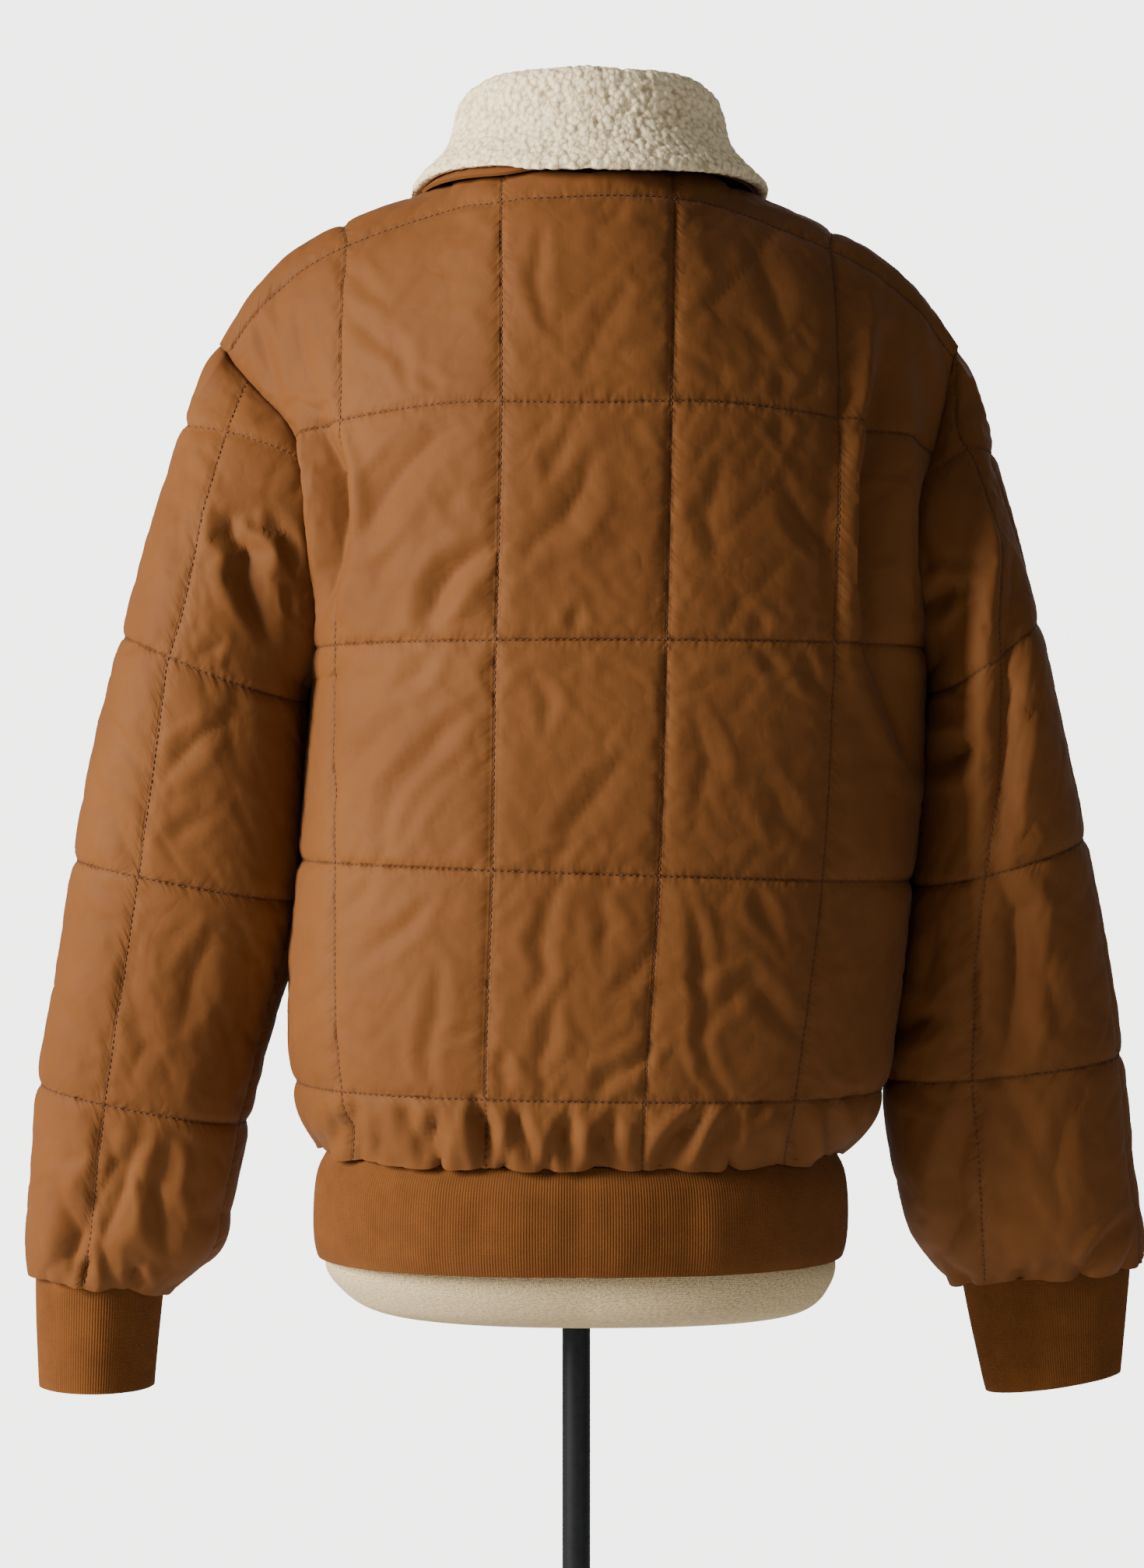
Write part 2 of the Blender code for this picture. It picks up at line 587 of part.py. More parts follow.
def make_panels():
    """Return the back and the two fronts, with the same number of rows above the underarm."""
    back_rows, back_row_lines = row_shares(QUILT_ROWS, NECK_BACK[1], (3, 4, 4, 1, 5, 4, 2))
    front_rows, front_row_lines = row_shares(FRONT_ROWS, NECK_FRONT[1], (3, 4, 4, 1, 6, 5))
    back = Panel(1, (-1, 1), back_lines, back_rows, back_row_lines, (3, 4, 4))
    fronts = {}
    for side in (1, -1):
        fronts[side] = Panel(-1, (side,), front_lines, front_rows, front_row_lines, (4, 4, 4))
        column = 0 if side > 0 else -1
        middle = fronts[side].inside[:, column, 0]
        fronts[side].inside[:, column, 0] = middle + side * (ZIP_HALF_WIDTH + SEAM_GAP)
    return back, fronts


# ---------------------------------------------------------------- sleeves and cuffs
def ring_points(row, side, angles):
    """Return the inside of a sleeve at one ring, by angle from its outermost point to the back."""
    outer = Vector((side * (row.outer_x - COVER), 0, row.outer_z))
    inner = Vector((side * (row.inner_x + COVER), 0, row.inner_z))
    centre, arm = (outer + inner) / 2, (outer - inner) / 2
    depth = row.half_depth - COVER
    points = []
    for angle in angles:
        c, s = cos(angle), sin(angle)
        reach = (abs(c) ** SLEEVE_ROUND + abs(s) ** SLEEVE_ROUND) ** (-1 / SLEEVE_ROUND)
        points.append(centre + arm * c * reach + Vector((0, row.y + depth * s * reach, 0)))
    return points


def blend_rings(plain, seam, keep):
    """Carry a share of the armhole's own depth, front to back, into a plain ring next to it."""
    return [Vector((p.x, p.y + (own.y - p.y) * keep, p.z)) for p, own in zip(plain, seam)]


def sleeve_lengths():
    """Return the lengths of a sleeve's rings after the armhole, and its quilting rows."""
    end = SLEEVE_LEFT[-1].length
    return split([0.04, *SLEEVE_ROWS[1:], end], (5, 4, 4, 4), eased=True), [*SLEEVE_ROWS, end]


class Sleeve:
    """A quilted sleeve: a tube whose first ring is the armhole seam."""

    def __init__(self, side, back, front):
        self.side = side
        table = SLEEVE_LEFT if side > 0 else SLEEVE_RIGHT
        seam = self._armhole_points(back, front)
        lengths, row_lines = sleeve_lengths()
        first = SLEEVE_LINE_ANGLE[side]
        step = 2 * pi / SLEEVE_COLUMNS
        twist = (first + step / 2) % step - step / 2
        rings = [seam]
        for length in lengths:
            row = table_at(table, "length", min(length, table[-1].length))
            share = min(1.0, length / SLEEVE_ROWS[1])
            turned = [k * step + twist * share for k in range(SLEEVE_COLUMNS)]
            plain = ring_points(row, side, turned)
            keep = max(0.0, 1 - length / HEAD_REACH) ** 1.5
            rings.append(blend_rings(plain, seam, keep))
        closed = [ring + ring[:1] for ring in rings]
        self.inside = np.array([[tuple(p) for p in ring] for ring in closed])
        self.normals = normals_of(self.inside, closed=True)
        middle = self.inside[:, :-1].mean(axis=1, keepdims=True)
        if ((self.inside - middle) * self.normals).sum(axis=2)[-4:].mean() < 0:
            self.normals = -self.normals
        self.lengths = [0.0] + list(lengths)
        self._gather()
        self.lift = np.array([self._lift_row(i, row_lines, twist, step) for i in range(len(rings))])
        self._join(back, front)

    def _armhole_points(self, back, front):
        """Return the armhole seam from the shoulder tip down the back and up the front."""
        rows, column = back.armhole(self.side)
        behind = [Vector(back.inside[i, column]) for i in reversed(rows)]
        rows, column = front.armhole(self.side)
        ahead = [Vector(front.inside[i, column]) for i in rows]
        points = behind + ahead[1:-1]
        points[0].y = points[len(behind) - 1].y = 0.0
        return points

    def _gather(self):
        """Step the cloth in and out by turns where the cuff draws it in."""
        end = self.lengths[-1]
        for i, length in enumerate(self.lengths):
            for j in range(SLEEVE_COLUMNS + 1):
                step = gathered(j % SLEEVE_COLUMNS, end - length)
                self.inside[i, j] += step * self.normals[i, j]

    def _lift_row(self, i, row_lines, twist, step):
        length = self.lengths[i]
        along = swell(length, row_lines)
        share = min(1.0, length / SLEEVE_ROWS[1])
        first = SLEEVE_LINE_ANGLE[self.side]
        lifts = []
        for k in range(SLEEVE_COLUMNS + 1):
            angle = (k % SLEEVE_COLUMNS) * step + twist * share
            across = abs(sin(2 * (angle - first)))
            lifts.append(WALL + quilt(across, along))
        return lifts

    def _join(self, back, front):
        """Mitre the first ring with the panels' armhole edges, and square the last for the cuff."""
        own = self.normals[0, :-1]
        for panel, keys in self._edges(back, front):
            rows, column = panel.armhole(self.side)
            for i, k in zip(rows, keys):
                theirs = panel.normals[i, column]
                own[k] = (theirs + own[k]) / max(1 + float(theirs @ own[k]), 0.75)
        for _ in range(MITRE_SMOOTHING):
            own[:] = (np.roll(own, 1, 0) + 2 * own + np.roll(own, -1, 0)) / 4
        self.normals[0, -1] = own[0]
        for panel, keys in self._edges(back, front):
            rows, column = panel.armhole(self.side)
            for i, k in zip(rows, keys):
                panel.normals[i, column] = own[k]
        self.lift[[0, -1]] = WALL
        outer, inner = self.inside[-1, 0], self.inside[-1, SLEEVE_COLUMNS // 2]
        across = (outer - inner) / np.linalg.norm(outer - inner)
        axis = np.cross(across, (0, 1, 0))
        last = self.normals[-1]
        last -= (last @ axis)[:, None] * axis
        last /= np.linalg.norm(last, axis=1, keepdims=True)

    def _edges(self, back, front):
        """Return each panel with the sleeve's column beside each of its armhole rows."""
        count = len(back.armhole(self.side)[0])
        return (
            (back, list(range(count))[::-1]),
            (front, [(count - 1 + k) % SLEEVE_COLUMNS for k in range(count)]),
        )

    def grids(self):
        """Return the inside and outside grids, the first ring a gap off the body."""
        outside = self.inside + self.normals * self.lift[:, :, None]
        inside = self.inside.copy()
        for grid in (inside, outside):
            away = grid[1] - grid[0]
            grid[0] += ARMHOLE_GAP * away / np.linalg.norm(away, axis=1, keepdims=True)
        return inside, outside


def cuff_grids(side, sleeve_end):
    """Return the grids of a knitted cuff, its top a seam's gap under the sleeve's end."""
    cuff = CUFFS[side]
    inside, outside = [], []
    outer, inner = sleeve_end[0], sleeve_end[SLEEVE_COLUMNS // 2]
    slope = (outer[2] - inner[2]) / (outer[0] - inner[0])
    for i in range(BAND_ROWS + 1):
        t = i / BAND_ROWS
        centre_x = side * (cuff.top_x + (cuff.bottom_x - cuff.top_x) * t)
        half = cuff.top_half + (cuff.bottom_half - cuff.top_half) * t
        tilt = slope * (1 - t) + cuff.slope * side * t
        top_z = inner[2] + slope * (centre_x - inner[0]) - SEAM_GAP
        centre_z = top_z + (cuff.bottom_z - top_z) * t
        for grid, thick in ((inside, RIB_WALL), (outside, 0.0)):
            ring = []
            for k in range(CUFF_COLUMNS + 1):
                angle = 2 * pi * (k % CUFF_COLUMNS) / CUFF_COLUMNS
                x = (half - thick) * cos(angle)
                y = (cuff.half_depth - thick) * sin(angle)
                ring.append((centre_x + side * x, cuff.y + y, centre_z + tilt * side * x))
            grid.append(ring)
    return inside, outside


# ---------------------------------------------------------------- hem, collar, zip
def hem_grids():
    """Return the grids of the knitted hem band under the body."""
    seam = SECTIONS[0]
    inside, outside = [], []
    for i in range(BAND_ROWS + 1):
        t = i / BAND_ROWS
        z = HEM_SEAM_Z - SEAM_GAP + (HEM_BOTTOM_Z - HEM_SEAM_Z) * t
        bell = HEM_BELL * sin(pi * t)
        for grid, thick in ((inside, RIB_WALL), (outside, 0.0)):
            ring = []
            for k in range(HEM_COLUMNS + 1):
                angle = 2 * pi * (k % HEM_COLUMNS) / HEM_COLUMNS
                side = 1 if cos(angle) > 0 else -1
                top = seam.left if side > 0 else seam.right
                half = top + (HEM_BOTTOM_HALF[side] - top) * t + bell - thick
                depth = (seam.back if sin(angle) > 0 else seam.front) + bell - thick
                c, s = abs(cos(angle)), abs(sin(angle))
                reach = (c**CHEST_ROUND + s**CHEST_ROUND) ** (-1 / CHEST_ROUND)
                y = depth * s * reach * (1 if sin(angle) > 0 else -1)
                ring.append((side * half * c * reach, y, z))
            grid.append(ring)
    return inside, outside


def collar_station(angle):
    """Return the neckline point at an angle from centre back, and the level way out from it."""
    side = 1 if angle >= 0 else -1
    turn = abs(angle)
    face = 1 if turn <= pi / 2 else -1
    share = (turn if face > 0 else pi - turn) / (pi / 2)
    depth = NECK_BACK[0] if face > 0 else NECK_FRONT[0]
    point = neckline(face, side, share)
    out = Vector((side * sin(share * pi / 2) / NECK_HALF_WIDTH, face * cos(share * pi / 2) / depth, 0))
    return point, out.normalized()


def collar_line(angle):
    """Return the middle line of the folded fleece, as (out, up), and its normals into the fold."""
    row = table_at(COLLAR, "angle", abs(angle) * 180 / pi)
    stand = -FLEECE / 2 - UNDERCOLLAR - 2 * SEAM_GAP - NECK_EASE
    shoulder = row.fold - FOLD_RADIUS
    middle = stand + FOLD_RADIUS - row.lean
    line = [(stand, 0.0), (stand - row.lean * 0.4, shoulder * 0.5), (stand - row.lean, shoulder)]
    for turn in (pi / 4, pi / 2, 3 * pi / 4):
        line.append((middle - FOLD_RADIUS * cos(turn), shoulder + FOLD_RADIUS * sin(turn)))
    start = Vector((middle + FOLD_RADIUS, shoulder - FOLD_RADIUS * 0.15))
    end = Vector((row.spread, row.edge))
    for k in range(FALL_STEPS + 1):
        point = start.lerp(end, k / FALL_STEPS)
        line.append((point.x - (end.x - start.x) * row.sag * sin(pi * k / FALL_STEPS), point.y))
    points = np.array(line)
    ahead = np.gradient(points, axis=0)
    inward = np.stack([ahead[:, 1], -ahead[:, 0]], axis=1)
    return points, inward / np.linalg.norm(inward, axis=1, keepdims=True)


def collar_grids(near, far):
    """Return the grids of a collar layer between two distances from the fleece's middle line."""
    near_grid, far_grid = [], []
    for k in range(COLLAR_STATIONS + 1):
        angle = COLLAR_END * (2 * k / COLLAR_STATIONS - 1)
        base, out = collar_station(angle)
        points, normals = collar_line(angle)
        for grid, off in ((near_grid, near), (far_grid, far)):
            placed = points + normals * off
            grid.append([tuple(base + out * p[0] + Vector((0, 0, p[1]))) for p in placed])
    return near_grid, far_grid


def zip_tape_grids(side, front):
    """Return the grids of a zip tape that fills the way from the middle line to a front's edge."""
    column = 0 if side > 0 else -1
    edge = front.inside[:, column]
    normals = front.normals[:, column]
    inside, outside = [], []
    for point, normal in zip(edge, normals):
        near = np.array(point) - (side * (ZIP_HALF_WIDTH - SEAM_GAP / 2 + SEAM_GAP), 0, 0)
        far = np.array(point) - (side * SEAM_GAP, 0, 0)
        inside.append([near, far])
        outside.append([near + normal * ZIP_WALL, far + normal * ZIP_WALL])
    return inside, outside


def zip_frame(front):
    """Return the slider's frame: X across, Y up along the zip, Z out from the cloth."""
    edge, normals = front.inside[:, 0], front.normals[:, 0]
    heights = edge[:, 2]
    at = [float(np.interp(SLIDER_Z, heights, edge[:, k])) for k in range(3)]
    out = Vector([float(np.interp(SLIDER_Z, heights, normals[:, k])) for k in range(3)])
    out.x = 0
    out.normalize()
    across = Vector((1, 0, 0))
    up = out.cross(across).normalized()
    frame = Matrix((across, up, out)).transposed().to_4x4()
    centre_x = at[0] - ZIP_HALF_WIDTH - SEAM_GAP
    return Matrix.Translation(Vector((centre_x, at[1], at[2])) + out * (ZIP_WALL + SEAM_GAP)) @ frame


def make_slider(frame, material):
    """Build the slider: a channel over the teeth with two cheeks and a hinge pin."""
    w, h = SLIDER_HALF_WIDTH, SLIDER_HEIGHT
    c, d = SLIDER_CHANNEL
    cut = METAL_EDGE
    outline = [(-w, 0), (-c, 0), (-c, d), (c, d), (c, 0), (w, 0), (w, h - cut), (w - cut, h),
               (-w + cut, h), (-w, h - cut)]
    bm = rounded_prism(outline, SLIDER_LENGTH / 2, 0)
    bmesh.ops.transform(bm, matrix=Matrix.Rotation(pi / 2, 4, "X"), verts=bm.verts)
    slider = add_object("zip_slider", bm, material)
    slider.matrix_world = frame
    cutters = []
    near, far = CHEEK
    foot, head = CHEEK_HALF_LENGTHS
    root, tip = -(h - d) + SEAM_GAP, PIN_HEIGHT - h + 2 * PIN_RADIUS
    for side in (1, -1):
        cheek = rounded_prism([(-foot, root), (foot, root), (head, tip), (-head, tip)], (far - near) / 2, 0)
        place = (
            Matrix.Translation((side * (near + far) / 2, 0, h))
            @ Matrix.Rotation(pi / 2, 4, "Z") @ Matrix.Rotation(pi / 2, 4, "X")
        )
        bmesh.ops.transform(cheek, matrix=place, verts=cheek.verts)
        cutters.append(helper("cheek", cheek, frame))
    pin = bmesh.new()
    bmesh.ops.create_cone(
        pin, cap_ends=True, segments=PIN_SIDES, radius1=PIN_RADIUS, radius2=PIN_RADIUS,
        depth=2 * far - SEAM_GAP,
    )
    lie = Matrix.Translation((0, 0, PIN_HEIGHT)) @ Matrix.Rotation(pi / 2, 4, "Y")
    bmesh.ops.transform(pin, matrix=lie, verts=pin.verts)
    cutters.append(helper("pin", pin, frame))
    for other in cutters:
        union = slider.modifiers.new("join", "BOOLEAN")
        union.operation = "UNION"
        union.object = other
    return slider


def helper(name, bm, frame):
    """Make an object that only a Boolean reads."""
    obj = add_object(name, bm, bpy.data.materials["zip_metal"])
    obj.matrix_world = frame
    obj.hide_render = True
    obj.display_type = "WIRE"
    return obj


def make_pull(frame, material):
    """Build the pull tab: an eye round the pin and a flat tab that hangs down the zip."""
    inner, outer = EYE
    half = CHEEK[0] - SEAM_GAP
    bm = bmesh.new()
    corners = ((-half, inner), (half, inner), (half, outer), (-half, outer))
    ring = [bm.verts.new((x, r, 0)) for x, r in corners]
    edges = [bm.edges.new((ring[k], ring[(k + 1) % 4])) for k in range(4)]
    bmesh.ops.spin(
        bm, geom=[*ring, *edges], axis=(1, 0, 0), cent=(0, 0, 0), angle=2 * pi, steps=EYE_SIDES,
        use_merge=True,
    )
    bmesh.ops.remove_doubles(bm, verts=bm.verts, dist=1e-6)
    pull = add_object("zip_pull", bm, material)
    pivot = frame @ Matrix.Translation((0, 0, PIN_HEIGHT)) @ Matrix.Rotation(TAB_REST, 4, "X")
    pull.matrix_world = pivot
    w, root = TAB_HALF_WIDTH, -(inner + SEAM_GAP)
    narrow, wide = TAB_WAIST
    low, cut = -TAB_LENGTH, TAB_CORNER
    right = [(half, root), (half, -narrow), (w, -wide), (w, low + cut), (w - cut, low)]
    outline = [(-x, y) for x, y in right] + right[::-1]
    tab = rounded_prism(outline, TAB_THICKNESS / 2, TAB_EDGE)
    union = pull.modifiers.new("join", "BOOLEAN")
    union.operation = "UNION"
    union.object = helper("tab", tab, pivot)
    return pull


# ---------------------------------------------------------------- form and stand
def form_ring(place):
    """Return a loop of the form from centre back round the left, the front and the right."""
    loop = []
    for face, side, order in ((1, 1, 1), (-1, 1, -1), (-1, -1, 1), (1, -1, -1)):
        neck = NECK_SHARE[side] / FORM_SHARE
        shares = split((0.0, neck, 1.0), FORM_COLUMNS)[::order]
        loop += [place(face, side, share) for share in shares[:-1]]
    return loop


def form_low(row):
    """Return the function that places a point of the form below the underarm."""
    def place(face, side, share):
        depth = row.back if face > 0 else row.front
        x, y = quarter(row.half_width, depth, share, FORM_SECTION)
        return Vector((row.centre + side * x, face * y, row.z))
    return place


def form_high(rise):
    """Return the function for the form's shoulders, which the jacket's shoulders rest on."""
    base = form_low(FORM_RINGS[-1])
    def place(face, side, share):
        cloth = share * FORM_SHARE
        top = top_line(face, side, cloth)
        top.z -= SEAM_GAP * 2 + SHOULDER_FALL * share**6
        beside = min(1.0, cloth / NECK_SHARE[side])
        if beside < 1 - 1e-6:
            top.z -= FORM_NECK_SINK * (1 - beside**4)
            top.x = NECK_CENTRE_X + (top.x - NECK_CENTRE_X) * FORM_NECK_INSET
            top.y *= FORM_NECK_INSET
        low = base(face, side, share)
        bulge = max(0.0, 1 - rise**FORM_ROUND) ** (1 / FORM_ROUND)
        return Vector((
            low.x + (top.x - low.x) * rise,
            top.y + (low.y - top.y) * bulge,
            low.z + (top.z - low.z) * rise,
        ))
    return place


def make_form(material):
    """Build the dress form: rings up to the shoulder line, then the neck stub."""
    rings = [form_ring(form_low(row)) for row in FORM_RINGS]
    rings += [form_ring(form_high(rise)) for rise in FORM_RISES]
    bm = bmesh.new()
    count = len(rings[0])
    loops = [[bm.verts.new(p) for p in ring] for ring in rings]
    for low, high in zip(loops, loops[1:]):
        for k in range(count):
            bm.faces.new((low[k], low[(k + 1) % count], high[(k + 1) % count], high[k]))
    bm.faces.new(loops[0])
    bmesh.ops.remove_doubles(bm, verts=bm.verts, dist=1e-6)
    rim = [e for e in bm.edges if e.is_boundary]
    centre = Vector((NECK_CENTRE_X, 0.0, 0.0))
    for step, scale in FORM_NECK + (FORM_CAP,):
        top = bmesh.ops.extrude_edge_only(bm, edges=rim)["geom"]
        rim = [g for g in top if isinstance(g, bmesh.types.BMEdge)]
        verts = [g for g in top if isinstance(g, bmesh.types.BMVert)]
        for vert in verts:
            vert.co.x = centre.x + (vert.co.x - centre.x) * scale
            vert.co.y *= scale
            vert.co.z += step
        if (step, scale) == FORM_NECK[-1]:
            level = sum(v.co.z for v in verts) / len(verts)
            for vert in verts:
                vert.co.z += (level - vert.co.z) * NECK_LEVEL
    bmesh.ops.contextual_create(bm, geom=rim)
    return add_object("form_torso", bm, material)


def make_stand(material):
    """Build the pole and the round base with its socket, each from a turned profile."""
    top, seat = FORM_RINGS[0].z - SEAM_GAP, BASE_THICKNESS + SEAM_GAP
    pole = [(0, top), (POLE_RADIUS, top), (POLE_RADIUS, seat), (0, seat)]
    turned("stand_pole", pole, POLE_SIDES, material)
    bore, rim, edge = POLE_RADIUS + SEAM_GAP, BASE_THICKNESS + SOCKET_HEIGHT, STAND_EDGE
    turned("stand_socket", [
        (bore, rim), (SOCKET_RADIUS - edge, rim), (SOCKET_RADIUS, rim - edge),
        (SOCKET_RADIUS, BASE_THICKNESS + SOCKET_FLARE / 2), (SOCKET_RADIUS + SOCKET_FLARE, seat),
        (bore, seat),
    ], POLE_SIDES, material, ring=True)
    turned("stand_base", [
        (0, BASE_THICKNESS), (BASE_RADIUS - edge, BASE_THICKNESS),
        (BASE_RADIUS - edge / 3, BASE_THICKNESS - edge / 3), (BASE_RADIUS, BASE_THICKNESS - edge),
        (BASE_RADIUS, edge / 3), (BASE_RADIUS - edge / 3, 0), (0, 0),
    ], BASE_SIDES, material)


def turned(name, profile, sides, material, ring=False):
    """Spin a profile of (radius, height) points round the stand's axis."""
    bm = bmesh.new()
    verts = [bm.verts.new((r, 0, z)) for r, z in profile]
    pairs = list(zip(verts, verts[1:])) + ([(verts[-1], verts[0])] if ring else [])
    edges = [bm.edges.new(pair) for pair in pairs]
    bmesh.ops.spin(
        bm, geom=[*verts, *edges], axis=(0, 0, 1), cent=(0, 0, 0), angle=2 * pi, steps=sides, use_merge=True
    )
    bmesh.ops.remove_doubles(bm, verts=bm.verts, dist=1e-6)
    return add_object(name, bm, material, radians(35))


# ---------------------------------------------------------------- the whole
def main():
    """Build every piece."""
    clear_scene()
    shell = finish("shell_cloth", SHELL_BROWN, 0.45)
    rib = finish("rib_knit", RIB_BROWN, 0.9)
    fleece = finish("fleece", FLEECE_CREAM, 1.0)
    linen = finish("linen", LINEN, 0.95)
    metal = finish("stand_metal", DARK_METAL, 0.4, 0.8)
    zip_metal = finish("zip_metal", ZIP_METAL, 0.35, 1.0)

    back, fronts = make_panels()
    sleeves = {side: Sleeve(side, back, fronts[side]) for side in (1, -1)}
    wall_object("back", back.inside, back.outside(), shell)
    for side, name in ((1, "left"), (-1, "right")):
        wall_object(f"front_{name}", fronts[side].inside, fronts[side].outside(), shell)
        inside, outside = sleeves[side].grids()
        wall_object(f"sleeve_{name}", inside, outside, shell, closed=True)
        wall_object(f"cuff_{name}", *cuff_grids(side, inside[-1]), rib, closed=True)
        wall_object(f"zip_tape_{name}", *zip_tape_grids(side, fronts[side]), rib)
    wall_object("hem_rib", *hem_grids(), rib, closed=True)
    half = FLEECE / 2
    wall_object("collar_fleece", *collar_grids(-half, half), fleece)
    wall_object("undercollar", *collar_grids(half + SEAM_GAP, half + SEAM_GAP + UNDERCOLLAR), shell)
    frame = zip_frame(fronts[1])
    make_slider(frame, zip_metal)
    make_pull(frame, zip_metal)
    make_form(linen)
    make_stand(metal)


main()
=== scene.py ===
"""Dress the quilted jacket, the form that wears it and its stand.

Metres, +Z up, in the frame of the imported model.  The wearer faces -Y, so the
camera, which stands at +Y, sees the back, and +X is the wearer's left.
"""

import logging
from collections.abc import Callable, Sequence
from dataclasses import dataclass
from enum import Enum, IntEnum
from itertools import product
from math import cos, pi, radians, sin
from typing import NamedTuple

import bmesh
import bpy
import numpy as np
from mathutils import Matrix, Vector


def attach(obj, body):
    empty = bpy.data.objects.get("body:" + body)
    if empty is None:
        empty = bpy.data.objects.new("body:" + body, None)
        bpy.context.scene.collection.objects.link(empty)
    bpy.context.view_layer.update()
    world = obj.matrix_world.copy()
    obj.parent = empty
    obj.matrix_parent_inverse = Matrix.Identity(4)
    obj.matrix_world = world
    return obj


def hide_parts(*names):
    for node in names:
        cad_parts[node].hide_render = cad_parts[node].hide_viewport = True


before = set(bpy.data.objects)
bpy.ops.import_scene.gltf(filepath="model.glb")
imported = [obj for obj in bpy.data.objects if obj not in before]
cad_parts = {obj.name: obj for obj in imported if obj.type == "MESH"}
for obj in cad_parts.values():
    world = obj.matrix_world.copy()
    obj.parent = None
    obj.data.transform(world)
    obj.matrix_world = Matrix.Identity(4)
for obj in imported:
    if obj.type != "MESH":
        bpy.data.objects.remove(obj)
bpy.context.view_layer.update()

LOG = logging.getLogger("jacket")
JACKET = "jacket_on_form"

Array = np.ndarray
Material = bpy.types.Material
Piece = bpy.types.Object
Socket = bpy.types.NodeSocket
Point = tuple[float, float, float]


class Side(IntEnum):
    """The wearer's sides, as signs of X."""

    LEFT = 1
    RIGHT = -1

    @property
    def label(self) -> str:
        """Return the side's word in the names of pieces."""
        return self.name.lower()

    @property
    def edge(self) -> int:
        """Return the column at this side's end of a panel."""
        return -1 if self > 0 else 0

    def pick(self, pair: Sequence[float]) -> float:
        """Return this side's value of a left and a right one."""
        return pair[0] if self > 0 else pair[1]


SIDES = tuple((side, side.label) for side in Side)


class Face(IntEnum):
    """The sides of the body, as signs of Y."""

    BACK = 1
    FRONT = -1


# ---------------------------------------------------------------- sizes shared with the solids
QUILT_ROWS = (0.933, 1.067, 1.205, 1.345)  # heights of the level stitching at the centre
YOKE_ROW = 1.468  # and of the back's topmost line
SEAM_GAP = 0.0003
ARMHOLE_GAP = 0.0005
WALL = 0.003  # shell, wadding and lining where a seam presses them flat
COVER = 0.0070  # from the plain inside to the usual outline of the puffed outside
TILT = 0.034
HEM_SEAM_Z = 0.893
HEM_BOTTOM_Z = 0.828
HEM_BOTTOM_HALF = {Side.LEFT: 0.1640, Side.RIGHT: 0.1690}
UNDERARM_Z = 1.185
ROUND = 2.4  # superellipse exponent of the body's sections and of its upright profile
NECK_HALF_WIDTH = 0.078
NECK_CENTRE_X = -0.008
NECK_POINT_Z = 1.489
NECKLINE = {Face.BACK: (0.070, 1.480), Face.FRONT: (0.085, 1.430)}  # depth and height at the centre
NECK_DRAW = 0.55
NECK_SHARE = {Side.LEFT: 0.29, Side.RIGHT: 0.26}
SHOULDER_TIP = 0.230
SHOULDER_DROP = {Side.LEFT: (0.30, 590.0), Side.RIGHT: (0.38, 460.0)}
ZIP_HALF_WIDTH = 0.0057


class Section(NamedTuple):
    """Outline of the body at a height."""

    z: float
    left: float
    right: float
    back: float
    front: float
    centre: float


SECTIONS = (
    Section(0.893, 0.161, 0.167, 0.120, 0.118, 0.0066),
    Section(0.903, 0.166, 0.179, 0.126, 0.124, 0.0066),
    Section(0.915, 0.174, 0.189, 0.131, 0.128, 0.0064),
    Section(0.940, 0.179, 0.197, 0.135, 0.133, 0.0056),
    Section(0.980, 0.181, 0.202, 0.138, 0.136, 0.0042),
    Section(1.035, 0.178, 0.209, 0.138, 0.138, 0.0010),
    Section(1.075, 0.174, 0.213, 0.137, 0.139, -0.0004),
    Section(1.135, 0.169, 0.219, 0.136, 0.141, -0.0020),
    Section(1.185, 0.164, 0.220, 0.135, 0.142, -0.0034),
)


class BackLine(NamedTuple):
    """Where the back's upright stitching runs at a height, as seen from behind."""

    z: float
    far_left: float
    left: float
    right: float
    far_right: float


BACK_LINES = (
    BackLine(0.893, 0.132, 0.056, -0.040, -0.122),
    BackLine(0.940, 0.139, 0.055, -0.042, -0.127),
    BackLine(1.067, 0.144, 0.050, -0.050, -0.143),
    BackLine(1.205, 0.146, 0.047, -0.054, -0.151),
    BackLine(1.345, 0.144, 0.044, -0.056, -0.157),
    BackLine(1.480, 0.144, 0.044, -0.057, -0.158),
)
FRONT_LINES = (0.060, 0.148)


class Armhole(NamedTuple):
    """Share of the half panel at which the armhole seam cuts it, by rise."""

    rise: float
    left: float
    right: float
    front: float


ARMHOLE = (
    Armhole(0.00, 1.00, 1.00, 1.00),
    Armhole(0.08, 0.88, 0.94, 0.92),
    Armhole(0.25, 0.81, 0.86, 0.79),
    Armhole(0.40, 0.79, 0.87, 0.76),
    Armhole(0.54, 0.83, 0.94, 0.78),
    Armhole(0.70, 0.93, 0.975, 0.87),
    Armhole(0.88, 0.985, 0.992, 0.96),
    Armhole(1.00, 1.00, 1.00, 1.00),
)


class Ring(NamedTuple):
    """A ring of a sleeve: its outermost and innermost points, depth, place and length."""

    outer_x: float
    outer_z: float
    inner_x: float
    inner_z: float
    half_depth: float
    y: float
    length: float


